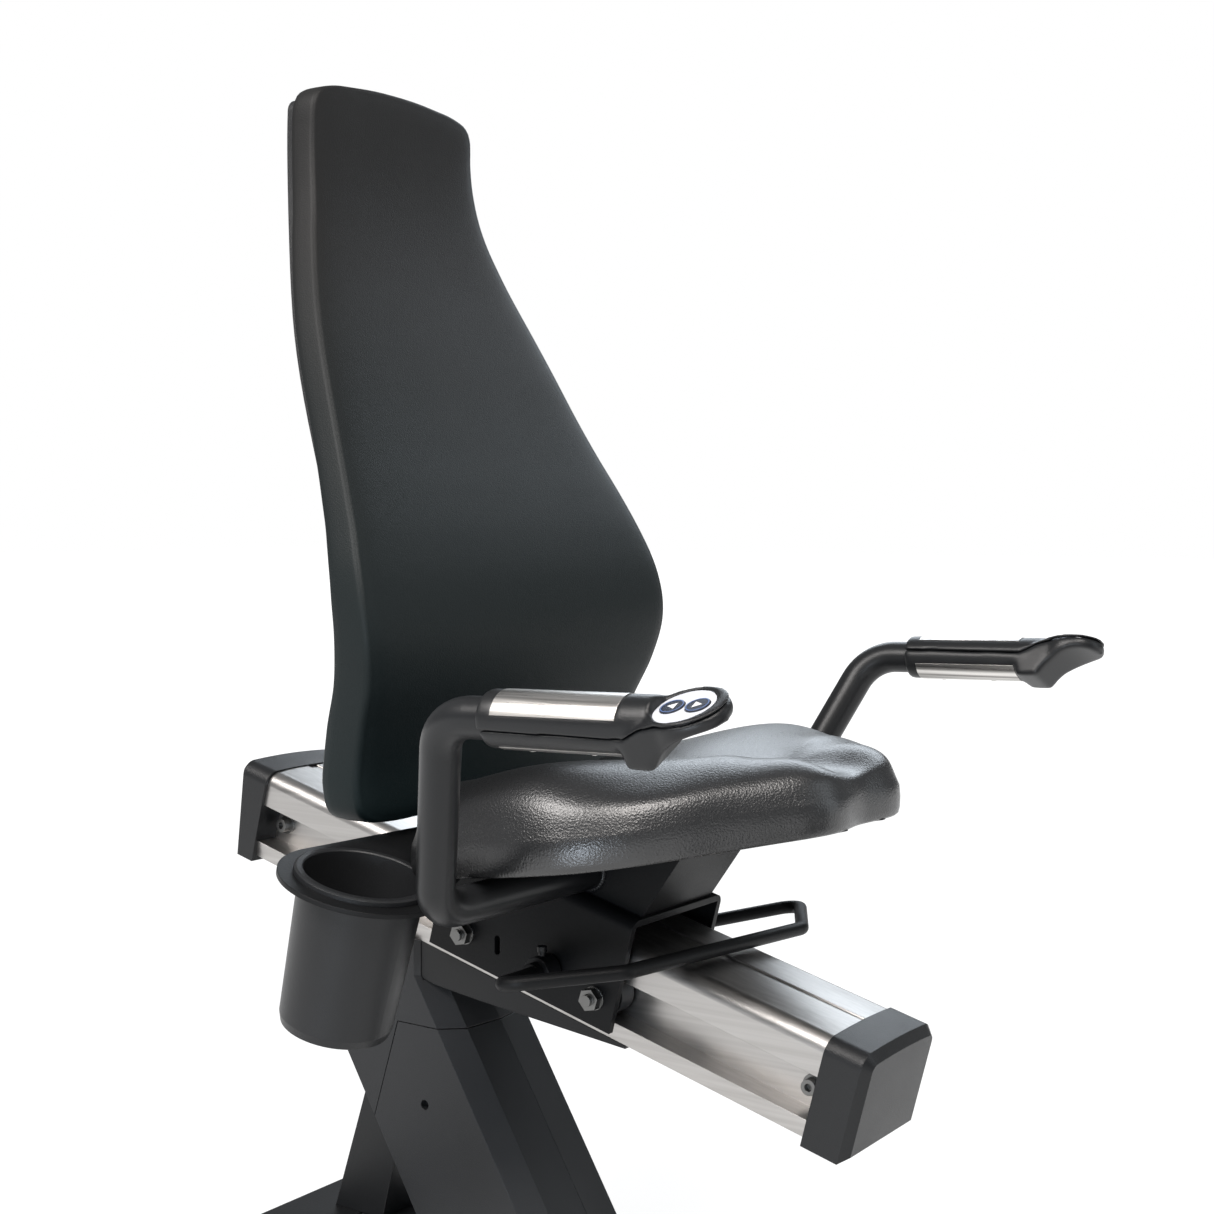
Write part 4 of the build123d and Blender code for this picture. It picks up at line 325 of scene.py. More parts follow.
FINISHES = {
    "frame_paint": powder_coat("frame_paint", 0.011, 0.4),
    "foot_rubber": rubber("foot_rubber"),
    "shroud_plastic": moulded("shroud_plastic", 0.022, 0.42, spark=0.6),
    "rail_aluminium": anodised("rail_aluminium"),
    "cap_plastic": moulded("cap_plastic", 0.014, 0.36, spark=0.9, fine=1100),
    "carriage_coat": powder_coat("carriage_coat", 0.007, 0.46, orange_peel=0.7, sheen=0.2),
    "zinc_hardware": plated("zinc_hardware", 0.2, 0.28),
    "lever_collar_coat": powder_coat("lever_collar_coat", 0.012, 0.35),
    "tube_coat": powder_coat("tube_coat", 0.014, 0.34, orange_peel=0.35),
    # The seat's low tone is a darker painted shade towards its bottom.
    "vinyl_seat": vinyl("vinyl_seat", cell=0.0015, depth=0.00026, roughness=0.25,
                        painted_low_tone=(0.0085, 0.0088, 0.0095, 1), sheen=1.0),
    # The backrest's low tone is a teal painted sheen low down.
    "vinyl_back": vinyl("vinyl_back", cell=0.0011, depth=0.00014, roughness=0.45,
                        painted_low_tone=(0.0065, 0.0125, 0.0135, 1), sheen=0.2),
    "shell_plastic": moulded("shell_plastic", 0.014, 0.42),
    "grip_plastic": moulded("grip_plastic", 0.012, 0.34, spark=0.6),
    "brushed_plate": brushed("brushed_plate"),
    "keypad_plastic": overlay("keypad_plastic"),
    "button_plastic": moulded("button_plastic", 0.03, 0.28, tint=(0.7, 0.85, 1.3), spark=0.4),
    "cup_plastic": moulded("cup_plastic", 0.015, 0.38, spark=0.7),
    "roller_nylon": moulded("roller_nylon", 0.02, 0.35, spark=0.3),
    "bearing_steel": plated("bearing_steel", 0.6, 0.14),
    "crank_steel": powder_coat("crank_steel", 0.016, 0.3),
    "cast_iron": cast("cast_iron"),
    "pulley_plastic": moulded("pulley_plastic", 0.02, 0.4),
    "belt_rubber": rubber("belt_rubber", 0.014),
    "magnet_block": plated("magnet_block", 0.35, 0.3),
    "pedal_plastic": moulded("pedal_plastic", 0.018, 0.45),
    "strap_rubber": rubber("strap_rubber", 0.02),
    "wheel_plastic": rubber("wheel_plastic", 0.02),
    "console_plastic": moulded("console_plastic", 0.03, 0.4, spark=0.7),
    "screen_glass": screen_glass("screen_glass"),
}
WHITE_INK = ink("white_print", (0.8, 0.8, 0.8, 1))
BLUE_INK = ink("blue_ring_print", (0.1, 0.16, 0.34, 1))

for entry in RECORD["subparts"]:
    for place in NODES[entry["node"]].material_slots:
        place.material = FINISHES[entry["material_slot"]]


# ------------------------------------------------------------------ mesh toolkit
def piece(name, mesh, body, slot, material=None, smooth=True):
    """Link a finished mesh as a piece that rides on a body and takes its finish from a slot."""
    mesh.materials.clear()
    mesh.materials.append(material or FINISHES[slot])
    if smooth:
        for face in mesh.polygons:
            face.use_smooth = True
    made = bpy.data.objects.new(name, mesh)
    bpy.context.scene.collection.objects.link(made)
    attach(made, body)
    return made


def mesh_from(name, points, faces, merge=1e-5):
    """A mesh from points and faces, with doubles merged and faces turned outwards."""
    mesh = bpy.data.meshes.new(name)
    mesh.from_pydata([tuple(point) for point in points], [], faces)
    sewn = bmesh.new()
    sewn.from_mesh(mesh)
    bmesh.ops.remove_doubles(sewn, verts=sewn.verts, dist=merge)
    bmesh.ops.recalc_face_normals(sewn, faces=sewn.faces)
    sewn.to_mesh(mesh)
    sewn.free()
    return mesh


def smooth_step(value, low, high):
    """0 below low, 1 above high, with an easy passage between."""
    share = min(max((value - low) / (high - low), 0.0), 1.0)
    return share * share * (3 - 2 * share)


def bell(value, middle, reach):
    """1 at the middle, and falling to nothing on both sides."""
    return math.exp(-(((value - middle) / reach) ** 2))


def curve_through(stations, value):
    """A smooth curve through (place, height) stations, by Catmull-Rom spans."""
    places = [station[0] for station in stations]
    heights = [station[1] for station in stations]
    if value <= places[0]:
        return heights[0] + (value - places[0]) * (heights[1] - heights[0]) / (places[1] - places[0])
    if value >= places[-1]:
        return heights[-1] + (value - places[-1]) * (heights[-1] - heights[-2]) / (places[-1] - places[-2])
    span = next(i for i in range(len(places) - 1) if places[i + 1] >= value)
    slopes = []
    for i in (span, span + 1):
        before, after = max(i - 1, 0), min(i + 1, len(places) - 1)
        slopes.append((heights[after] - heights[before]) / (places[after] - places[before]))
    width = places[span + 1] - places[span]
    t = (value - places[span]) / width
    return (
        heights[span] * (2 * t**3 - 3 * t**2 + 1)
        + slopes[0] * width * (t**3 - 2 * t**2 + t)
        + heights[span + 1] * (3 * t**2 - 2 * t**3)
        + slopes[1] * width * (t**3 - t**2)
    )


def rings_to_faces(ring_count, ring_size):
    """Quads between rings of points that are listed one ring after another."""
    faces = []
    for ring in range(ring_count - 1):
        for i in range(ring_size):
            j = (i + 1) % ring_size
            a, b = ring * ring_size, (ring + 1) * ring_size
            faces.append((a + i, a + j, b + j, b + i))
    return faces


def relax(mesh, rounds, chosen=None):
    """Ease a mesh's corners by moving each chosen point towards its neighbours."""
    soft = bmesh.new()
    soft.from_mesh(mesh)
    points = [v for v in soft.verts if chosen is None or chosen(v.co)]
    axes = {f"use_axis_{axis}": True for axis in "xyz"}
    for _ in range(rounds):
        bmesh.ops.smooth_vert(soft, verts=points, factor=0.5, **axes)
    soft.to_mesh(mesh)
    soft.free()


def settled(holder):
    """The mesh that an object's modifiers make; the object itself goes."""
    bpy.context.view_layer.update()
    mesh = bpy.data.meshes.new_from_object(holder.evaluated_get(bpy.context.evaluated_depsgraph_get()))
    bpy.data.objects.remove(holder)
    return mesh


def eased_copy(node, body, slot, cell, rounds):
    """A CAD node made again with its corners eased as a moulding's are."""
    mesh = NODES[node].data.copy()
    sewn = bmesh.new()
    sewn.from_mesh(mesh)
    bmesh.ops.remove_doubles(sewn, verts=sewn.verts, dist=1e-5)
    sewn.to_mesh(mesh)
    sewn.free()
    holder = bpy.data.objects.new(node + "_core", mesh)
    bpy.context.scene.collection.objects.link(holder)
    grid = holder.modifiers.new("grid", "REMESH")
    grid.mode, grid.voxel_size = "VOXEL", cell
    fine = settled(holder)
    fine.name = node + "_moulding"
    relax(fine, rounds)
    made = piece(fine.name, fine, body, slot)
    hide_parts(node)


# ------------------------------------------------------------------ cushions
def closed_outline(half, count):
    """Evenly spaced points round a smooth closed curve through half an outline and its mirror image."""
    points = half + [(along, -side) for along, side in half[-2:0:-1]]
    curve = bpy.data.curves.new("outline", "CURVE")
    curve.dimensions = "2D"
    spline = curve.splines.new("BEZIER")
    spline.bezier_points.add(len(points) - 1)
    for knot, (x, y) in zip(spline.bezier_points, points):
        knot.co = (x, y, 0)
        knot.handle_left_type = knot.handle_right_type = "AUTO"
    spline.use_cyclic_u = True
    spline.resolution_u = 24
    holder = bpy.data.objects.new("outline", curve)
    mesh = bpy.data.meshes.new_from_object(holder)
    line = [Vector((v.co.x, v.co.y)) for v in mesh.vertices]
    bpy.data.objects.remove(holder)
    bpy.data.meshes.remove(mesh)
    lengths = [0.0]
    for i, here in enumerate(line):
        lengths.append(lengths[-1] + (line[(i + 1) % len(line)] - here).length)
    result = []
    step = 0
    for i in range(count):
        want = lengths[-1] * i / count
        while lengths[step + 1] < want:
            step += 1
        share = (want - lengths[step]) / (lengths[step + 1] - lengths[step])
        result.append(line[step].lerp(line[(step + 1) % len(line)], share))
    return result


def on_spine(point, low, high):
    """Nearest point of the lengthwise middle line, and how far away it is."""
    near = Vector((min(max(point.x, low), high), 0.0))
    return near, (near - point).length


SEAT_POINTS = 320         # round the seat's outline
SEAT_HALF_OUTLINE = [     # forward and left
    (-0.048, 0.0), (-0.048, 0.07), (-0.044, 0.12), (-0.027, 0.166), (0.01, 0.197), (0.043, 0.2105),
    (0.076, 0.217), (0.11, 0.2225), (0.142, 0.224), (0.17, 0.2195), (0.2, 0.2025), (0.229, 0.1715),
    (0.254, 0.134), (0.281, 0.0965), (0.2965, 0.075), (0.305, 0.056), (0.3065, 0.04), (0.304, 0.021),
    (0.3015, 0.007), (0.301, 0.0),
]
SEAT_RIDGE = [            # forward and up, along the crest of the bolsters
    (-0.06, 0.106), (-0.02, 0.107), (0.016, 0.1105), (0.041, 0.116), (0.076, 0.126), (0.118, 0.1345),
    (0.16, 0.136), (0.2, 0.1375), (0.235, 0.1405), (0.265, 0.1435), (0.29, 0.1435), (0.32, 0.1425),
]
SEAT_SPINE = (0.075, 0.215)      # ends of the line that the seat's rings close on
SEAT_BOTTOM = 0.033       # height of the underside at the middle of the rail
SEAT_PITCH = 0.15         # how fast it rises forward
SEAT_WALL = 0.038         # straight part of the side wall
SEAT_LIP = 0.0022         # thin edge where the cover is folded under
SEAT_WALL_INSET = 0.004   # how far in the wall leans by its top
SEAT_WALL_BULGE = 0.0016  # and how far it swells between
SEAT_WALL_SHARES = (0.12, 0.35, 0.6, 0.85, 1.0)
SEAT_HEM = [(0.16, 0.0), (0.05, 0.0), (0.012, 0.0), (0.003, 0.0006), (0.0006, SEAT_LIP)]   # inset, lift
SEAT_SHOULDER = 0.55      # below 1 the roll starts steep and rounds early
SEAT_SOFT = 0.029         # height above the underside from which the foam is relaxed
SEAT_RELAX = 70           # and how many times
SEAM = 2e-4               # points of a cushion nearer than this are one


def seat_underside(x):
    """Height of the seat's underside."""
    return SEAT_BOTTOM + SEAT_PITCH * x


def seat_top(x, y):
    """Height of the seat's upper face: hip bolsters that run into two thigh lobes, round a bowl."""
    side = abs(y)
    ridge = 0.178 - 0.11 * smooth_step(x, 0.1, 0.24)      # how far out the crest runs
    bowl = 0.013 + 0.011 * smooth_step(x, 0.06, 0.26)     # how far the middle lies below it
    inner = 1 - smooth_step(side, 0.0, ridge)
    waist = 0.011 * bell(x, 0.214, 0.042) * smooth_step(side, 0.085, 0.165)
    hips = 0.003 * bell(x, 0.075, 0.08) * inner
    return curve_through(SEAT_RIDGE, x) - bowl * inner - waist - hips


def seat_roll(x):
    """How far in from its edge the seat rolls over: short at the hips, long beside the thighs."""
    return 0.052 + 0.05 * smooth_step(x, 0.12, 0.22) - 0.05 * smooth_step(x, 0.26, 0.312)


def seat_cushion():
    """Moulded bucket seat over a steep side wall."""
    outline = closed_outline(SEAT_HALF_OUTLINE, SEAT_POINTS)
    spine = [on_spine(p, *SEAT_SPINE) for p in outline]
    rings = []
    for inset, lift in SEAT_HEM:
        ring = []
        for p, (near, reach) in zip(outline, spine):
            q = p.lerp(near, min(inset / reach, 1.0))
            ring.append(at(q.x, q.y, seat_underside(q.x) + lift))
        rings.append(ring)
    for share in SEAT_WALL_SHARES:
        ring = []
        for p, (near, reach) in zip(outline, spine):
            inset = SEAT_WALL_INSET * share**2 - SEAT_WALL_BULGE * math.sin(math.pi * share)
            q = p.lerp(near, inset / reach)
            ring.append(at(q.x, q.y, seat_underside(q.x) + SEAT_LIP + share * SEAT_WALL))
        rings.append(ring)
    turns, flats = 28, 20
    for k in range(1, turns + flats + 1):
        ring = []
        for p, (near, reach) in zip(outline, spine):
            roll = min(seat_roll(p.x), 0.9 * reach)
            turn = 1 - math.cos(math.pi / 2 * min(k / turns, 1.0))
            beyond = max(k - turns, 0) / flats
            inset = SEAT_WALL_INSET + (roll - SEAT_WALL_INSET) * turn + (reach - roll) * beyond
            q = p.lerp(near, inset / reach)
            low = seat_underside(q.x) + SEAT_LIP + SEAT_WALL
            rise = max(1 - (1 - turn) ** 2, 0.0) ** SEAT_SHOULDER
            ring.append(at(q.x, q.y, low + (seat_top(q.x, q.y) - low) * rise))
        rings.append(ring)
    points = [point for ring in rings for point in ring]
    faces = rings_to_faces(len(rings), len(outline))
    faces.append(tuple(reversed(range(len(outline)))))
    mesh = mesh_from("seat_moulding", points, faces, merge=SEAM)
    relax(mesh, SEAT_RELAX, lambda v: v.z > DATUM.z + seat_underside(v.x - DATUM.x) + SEAT_SOFT)
    made = piece("seat_moulding", mesh, "seat", "vinyl_seat")
    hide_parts("seat_cushion")


BACK_LOW, BACK_HIGH = 0.066, 0.706    # heights of the pad's ends
BACK_POINTS = 380         # round the pad's outline
BACK_HALF_OUTLINE = [     # up and left
    (BACK_LOW, 0.0), (BACK_LOW, 0.09), (BACK_LOW + 0.0004, 0.155), (BACK_LOW + 0.0035, 0.1725),
    (BACK_LOW + 0.0105, 0.1825), (0.088, 0.187), (0.124, 0.1935), (0.182, 0.207), (0.232, 0.2172),
    (0.27, 0.2165), (0.321, 0.2045), (0.396, 0.182), (0.483, 0.1585), (0.567, 0.1295), (0.6, 0.119),
    (0.636, 0.113), (0.67, 0.1105), (0.685, 0.11), (BACK_HIGH - 0.012, 0.1085),
    (BACK_HIGH - 0.003, 0.1025), (BACK_HIGH + 0.0022, 0.09), (BACK_HIGH + 0.007, 0.055),
    (BACK_HIGH + 0.0095, 0.0),
]
BACK_SPINE = (BACK_LOW + 0.12, BACK_HIGH - 0.1)       # ends of the line that the pad's rings close on
BACK_THICKNESS = 0.029
BACK_LOW_SWELL = 0.016    # how much deeper the pad's rim wraps round the shell beside the hips
SWELL_LOW, SWELL_HIGH = 0.13, 0.42    # heights between which that fades
BACK_RIM = 0.009          # width of that rim
BACK_EDGE = 0.0045        # radius of the pad's front edge
BACK_EDGE_DEPTH = 0.0022  # where its rounding ends, behind the front face
BACK_SIDE = 0.0008        # how far the pad's side bulges
BACK_CROWN = 0.0015       # how far the upholstery stands proud of its foam core
BACK_BELLY = 0.0042       # and how much further between the lumbar and the shoulders
BELLY_MIDDLE, BELLY_REACH = 0.44, 0.13    # height of that belly, and how far it spreads
BACK_REAR = [             # inset from the outline, and depth behind the front face
    (0.12, BACK_THICKNESS), (0.02, BACK_THICKNESS), (BACK_RIM + 0.003, BACK_THICKNESS),
    (BACK_RIM, BACK_THICKNESS), (0.005, BACK_THICKNESS), (0.0015, 0.0283), (0.0, 0.0268),
    (-0.0008, 0.022), (-0.001, 0.0165), (-0.0009, 0.011),
]
BACK_FRONT = [
    (0.0075, 0.0016), (0.013, 0.001), (0.022, 0.0005), (0.036, 0.0001), (0.06, 0.0), (0.085, 0.0),
]


def front_profile(node):
    """Forward place of a curved pad's front face at even heights, eased from its CAD node's corners."""
    band, slack, step = 0.008, 0.012, 0.006   # corners behind their neighbours or too close are left out
    corners = sorted((v.co.z - DATUM.z, v.co.x - DATUM.x) for v in NODES[node].data.vertices)
    profile = []
    for height, forward in corners:
        rivals = [x for z, x in corners if abs(z - height) < band]
        if forward > max(rivals) - slack and (not profile or height - profile[-1][0] > step):
            profile.append((height, forward))
    eased, spans, shifts = [], 16, (-0.024, -0.012, 0.0, 0.012, 0.024)
    for k in range(spans + 1):
        height = BACK_LOW + (BACK_HIGH - BACK_LOW) * k / spans
        near = [curve_through(profile, height + shift) for shift in shifts]
        eased.append((height, sum(near) / len(near)))
    return eased


def back_cushion():
    """Upholstered backrest pad, bowed over the lumbar, crowned at its head and thin at its edges."""
    front = front_profile("back_cushion")
    outline = closed_outline(BACK_HALF_OUTLINE, BACK_POINTS)
    spine = [on_spine(p, *BACK_SPINE) for p in outline]

    def place(q, depth, rim):
        """A point of the pad at a height and side, and so deep behind its front face."""
        fade = 1 - smooth_step(q.x, SWELL_LOW, SWELL_HIGH)
        swell = 1 + rim * BACK_LOW_SWELL / BACK_THICKNESS * fade
        crown = BACK_CROWN + BACK_BELLY * bell(q.x, BELLY_MIDDLE, BELLY_REACH)
        crown *= 1 - depth / BACK_THICKNESS
        return at(curve_through(front, q.x) + crown - depth * swell, q.y, q.x)

    profile, turns, flats = list(BACK_REAR), 8, 10
    for k in range(turns + 1):
        angle = math.pi / 2 * k / turns
        inset = BACK_EDGE * (1 - math.cos(angle)) - BACK_SIDE * math.cos(angle)
        profile.append((inset, BACK_EDGE_DEPTH + BACK_EDGE * (1 - math.sin(angle))))
    profile += BACK_FRONT
    steps = [(profile[0][0], k / flats, BACK_THICKNESS) for k in range(flats, 0, -1)]
    steps += [(inset, 0.0, depth) for inset, depth in profile]
    steps += [(profile[-1][0], k / flats, 0.0) for k in range(1, flats + 1)]
    rings = []
    for inset, beyond, depth in steps:
        rim = 1.0 if inset <= BACK_RIM else 0.0
        ring = []
        for p, (near, reach) in zip(outline, spine):
            share = min(inset / reach, 0.98)
            ring.append(place(p.lerp(near, share + (1 - share) * beyond), depth, rim))
        rings.append(ring)
    points = [point for ring in rings for point in ring]
    faces = rings_to_faces(len(rings), len(outline))
    mesh = mesh_from("back_upholstery", points, faces, merge=SEAM)
    made = piece("back_upholstery", mesh, "seat", "vinyl_back")
    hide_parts("back_cushion")


seat_cushion()
back_cushion()

GRIP_CELL = 0.00105       # the grips' corners are eased on a grid this fine
GRIP_ROUNDS = {"upper": 16, "lower": 55}
for hand in ("left", "right"):
    for half, rounds in GRIP_ROUNDS.items():
        eased_copy(f"grip_{half}_{hand}", "seat", "grip_plastic", GRIP_CELL, rounds)


# ------------------------------------------------------------------ what repeats, by Geometry Nodes
class Pattern(Finish):
    """A Geometry Nodes tree that sets one shape on every point, facing the way the point says."""

    SIZES = {"Radius": 0.004, "Height": 0.002, "Chamfer": 0.2, "Stretch": 1.0, "Recess": 0.0}

    def __init__(self, name):
        tree = bpy.data.node_groups.new(name, "GeometryNodeTree")
        tree.interface.new_socket(name="Points", in_out="INPUT", socket_type="NodeSocketGeometry")
        for label, size in self.SIZES.items():
            made = tree.interface.new_socket(name=label, in_out="INPUT", socket_type="NodeSocketFloat")
            made.default_value = size
        tree.interface.new_socket(name="Finish", in_out="INPUT", socket_type="NodeSocketMaterial")
        tree.interface.new_socket(name="Geometry", in_out="OUTPUT", socket_type="NodeSocketGeometry")
        super().__init__(name, tree)
        self.entry = self.node("NodeGroupInput").socket.node

    def given(self, label):
        return Value(self, self.entry.outputs[label])

    def attribute(self, label):
        settings = {"data_type": "FLOAT_VECTOR"}
        return self.node("GeometryNodeInputNamedAttribute", settings, {"Name": label})

    def set_on_points(self, shape):
        """Instance the shape, turn each copy by its point, make it real and give it its finish."""
        align = "FunctionNodeAlignRotationToVector"
        facing = self.node(align, {"axis": "Z"}, {"Vector": self.attribute("facing")})
        turned = self.node(align, {"axis": "X", "pivot_axis": "Z"},
                           {"Rotation": facing, "Vector": self.attribute("along")})
        copies = self.node("GeometryNodeInstanceOnPoints", None,
                           {"Points": self.given("Points"), "Instance": shape, "Rotation": turned})
        real = self.node("GeometryNodeRealizeInstances", None, {"Geometry": copies})
        dressed = self.node("GeometryNodeSetMaterial", None,
                            {"Geometry": real, "Material": self.given("Finish")})
        self.node("NodeGroupOutput", None, {"Geometry": dressed})
        return self


CROSS_LONG, CROSS_NARROW = 1.1, 0.26      # arms of the cross in a screw's head, in radii
CROSS_LIFT = 0.72                         # and their middle, in heights of the head


def stud_pattern():
    """Round-topped studs, keys and screw heads; a recess of 1 cuts a cross into each."""
    tree = Pattern("studs")
    radius, height = tree.given("Radius"), tree.given("Height")
    barrel = tree.node("GeometryNodeMeshCylinder", {"fill_type": "NGON"},
                       {"Vertices": 20, "Side Segments": 4, "Radius": radius, "Depth": height})
    place = tree.node("GeometryNodeInputPosition")
    parts = tree.node("SeparateXYZ", None, {0: place}).socket.node
    x, y, z = (Value(tree, parts.outputs[i]) for i in range(3))
    rise = tree.maths("MAXIMUM", z / height * 2.0, 0.0)
    shrink = 1 - tree.given("Chamfer") * rise * rise
    moved = tree.node("CombineXYZ", None, {0: x * shrink * tree.given("Stretch"), 1: y * shrink, 2: z})
    domed = tree.node("GeometryNodeSetPosition", None, {"Geometry": barrel, "Position": moved})
    blades = []
    for ahead, aside in ((CROSS_LONG, CROSS_NARROW), (CROSS_NARROW, CROSS_LONG)):
        size = tree.node("CombineXYZ", None, {0: radius * ahead, 1: radius * aside, 2: height})
        blade = tree.node("GeometryNodeMeshCube", None, {"Size": size})
        lift = tree.node("CombineXYZ", None, {2: height * CROSS_LIFT})
        blades.append(tree.node("GeometryNodeTransform", None, {"Geometry": blade, "Translation": lift}))
    meshes = {"Mesh 1": domed, "Mesh 2": blades}
    cut = tree.node("GeometryNodeMeshBoolean", {"operation": "DIFFERENCE"}, meshes)
    wanted = tree.maths("GREATER_THAN", tree.given("Recess"), 0.5)
    choice = {"Switch": wanted, "False": domed, "True": cut}
    shape = tree.node("GeometryNodeSwitch", {"input_type": "GEOMETRY"}, choice)
    return tree.set_on_points(shape)


def bead_pattern():
    """Flattened drops that overlap, as along a weld."""
    tree = Pattern("beads")
    drop = tree.node("GeometryNodeMeshIcoSphere", None, {"Radius": tree.given("Radius"), "Subdivisions": 2})
    flatness = tree.given("Height") / tree.given("Radius")
    size = tree.node("CombineXYZ", None, {0: tree.given("Stretch"), 1: 1.0, 2: flatness})
    flat = tree.node("GeometryNodeTransform", None, {"Geometry": drop, "Scale": size})
    return tree.set_on_points(flat)


STUDS, BEADS = stud_pattern(), bead_pattern()


def repeat(name, pattern, spots, body, slot, smooth=False, **sizes):
    """Set a pattern's shape on (place, facing, along) spots and keep the result as one mesh."""
    mesh = bpy.data.meshes.new(name + "_points")
    mesh.from_pydata([tuple(place) for place, _, _ in spots], [], [])
    for label, column in (("facing", 1), ("along", 2)):
        layer = mesh.attributes.new(label, "FLOAT_VECTOR", "POINT")
        for entry, spot in zip(layer.data, spots):
            entry.vector = spot[column]
    holder = bpy.data.objects.new(name + "_points", mesh)
    bpy.context.scene.collection.objects.link(holder)
    spread = holder.modifiers.new("spread", "NODES")
    spread.node_group = pattern.tree
    for socket in pattern.tree.interface.items_tree:
        if socket.in_out == "INPUT" and socket.name in sizes:
            spread[socket.identifier] = float(sizes[socket.name])
        elif socket.in_out == "INPUT" and socket.name == "Finish":
            spread[socket.identifier] = FINISHES[slot]
    solid = settled(holder)
    solid.name = name
    piece(name, solid, body, slot, smooth=smooth)


def skin_of(node):
    """The surface of a CAD node, to find places on."""
    mesh = NODES[node].data
    corners = [v.co for v in mesh.vertices]
    return BVHTree.FromPolygons(corners, [tuple(f.vertices) for f in mesh.polygons])


def spots_on(node, starts, way, along, sink):
    """Spots sunk a little where rays from the starting points meet a node, with the surface's own facing."""
    skin, spots = skin_of(node), []
    for start in starts:
        place, normal, _, _ = skin.ray_cast(Vector(start), Vector(way).normalized())
        if place is not None:
            if normal.dot(Vector(way)) > 0:
                normal = -normal
            spots.append((place - normal * sink, normal, along))
    return spots


BESIDE, BEHIND = 0.3, -0.5                # rays start clear of the housing and of the back shell
SCREW_HEAD = {"Chamfer": 0.3, "Recess": 1.0}
HOUSING_SCREWS = [        # forward and up
    (0.72, -0.2), (0.76, 0.08), (0.85, 0.2), (0.98, 0.25), (1.12, 0.17), (1.16, -0.02), (1.09, -0.2),
    (0.93, -0.28),
]
HAND_PLATE_SCREWS = [(0.222, 0.3277), (0.273, 0.3277)]     # forward and out
SHELL_SCREWS = [(-0.07, 0.17), (0.07, 0.17), (-0.07, 0.31), (0.07, 0.31)]    # left and up
WELD_PLACE = (0.072, 0.0545, 0.024)       # forward, out and up
WELD_RADIUS, WELD_DROPS = 0.0158, 40


def weld_ring(sign):
    """Spots round the foot of a handle tube, leaning out, for a bead that runs along them."""
    forward, out, up = WELD_PLACE
    centre, ring = at(forward, sign * out, up), []
    for k in range(WELD_DROPS):
        turn = 2 * math.pi * k / WELD_DROPS
        radial = Vector((math.cos(turn), 0, math.sin(turn)))
        facing = (radial + Vector((0, sign, 0))).normalized()
        ring.append((centre + radial * WELD_RADIUS, facing, Vector((-radial.z, 0, radial.x))))
    return ring


def fasteners():
    """Screws of the drive housing, the hand plates and the back shell, and the beads of the tube welds."""
    for side, sign in (("right", -1), ("left", 1)):
        starts = [at(x, sign * BESIDE, z) for x, z in HOUSING_SCREWS]
        spots = spots_on(f"housing_{side}", starts, (0, -sign, 0), (0.8, 0, 0.6), sink=0.0012)
        repeat(f"housing_screws_{side}", STUDS, spots, "bike_frame", "zinc_hardware",
               Radius=0.0042, Height=0.0036, **SCREW_HEAD)
        starts = [at(x, sign * y, 0.0) for x, y in HAND_PLATE_SCREWS]
        spots = spots_on("pulse_plates", starts, (0, 0, 1), (1, 0, 0), sink=0.0006)
        repeat(f"hand_plate_screws_{side}", STUDS, spots, "seat", "brushed_plate",
               Radius=0.0028, Height=0.0022, **SCREW_HEAD)
        repeat(f"handle_weld_{side}", BEADS, weld_ring(sign), "seat", "tube_coat", True,
               Radius=0.0026, Height=0.0021, Stretch=0.8)
    starts = [at(BEHIND, y, z) for y, z in SHELL_SCREWS]
    spots = spots_on("back_shell", starts, (1, 0, 0), (0, 1, 0), sink=0.0012)
    repeat("back_shell_screws", STUDS, spots, "seat", "zinc_hardware",
           Radius=0.005, Height=0.004, **SCREW_HEAD)


PEDAL_SIDES = {           # from and to, leftwards; under and upper face
    "right": (-0.2, -0.11, -0.202, -0.178),
    "left": (0.11, 0.2, 0.138, 0.162),
}
PEDAL_CLEAR = 0.05                        # rays start this far off the pedal
STUD_ROWS, STUD_COLUMNS = 6, 5
STUD_REAR, STUD_PITCH = 0.812, 0.0152     # forward place of the first row, and from row to row


def pedal_studs():
    """Grip studs on both faces of each pedal."""
    for side, (inner, outer, low, high) in PEDAL_SIDES.items():
        spots = []
        for i in range(STUD_ROWS):
            for j in range(STUD_COLUMNS):
                x, y = STUD_REAR + STUD_PITCH * i, inner + (outer - inner) * (j + 0.5) / STUD_COLUMNS
                for z, way in ((high + PEDAL_CLEAR, -1), (low - PEDAL_CLEAR, 1)):
                    spots += spots_on(f"pedal_{side}", [at(x, y, z)], (0, 0, way), (1, 0, 0), sink=0.0004)
        repeat(f"pedal_studs_{side}", STUDS, spots, f"pedal_unit_{side}", "pedal_plastic",
               Radius=0.0026, Height=0.0028, Chamfer=0.35)


CONSOLE_FACE, CONSOLE_UP = Vector((-0.927, 0, 0.375)), Vector((0.375, 0, 0.927))
CONSOLE_PLACE, CONSOLE_CLEAR = (0.884, 0, 0.884), 0.2
KEY_COUNT, KEY_PITCH = 5, 0.024
KEY_ROW = -0.1                            # up the console's face from its middle


def console_keys():
    """A row of soft keys below the screen."""
    row = at(*CONSOLE_PLACE) + CONSOLE_FACE * CONSOLE_CLEAR + CONSOLE_UP * KEY_ROW
    starts = [row + Vector((0, -KEY_PITCH * (k - KEY_COUNT // 2), 0)) for k in range(KEY_COUNT)]
    spots = spots_on("console_body", starts, -CONSOLE_FACE, (0, 1, 0), sink=0.0005)
    repeat("console_keys", STUDS, spots, "bike_frame", "keypad_plastic",
           Radius=0.0055, Height=0.0036, Chamfer=0.2, Stretch=1.5)


fasteners()
pedal_studs()
console_keys()


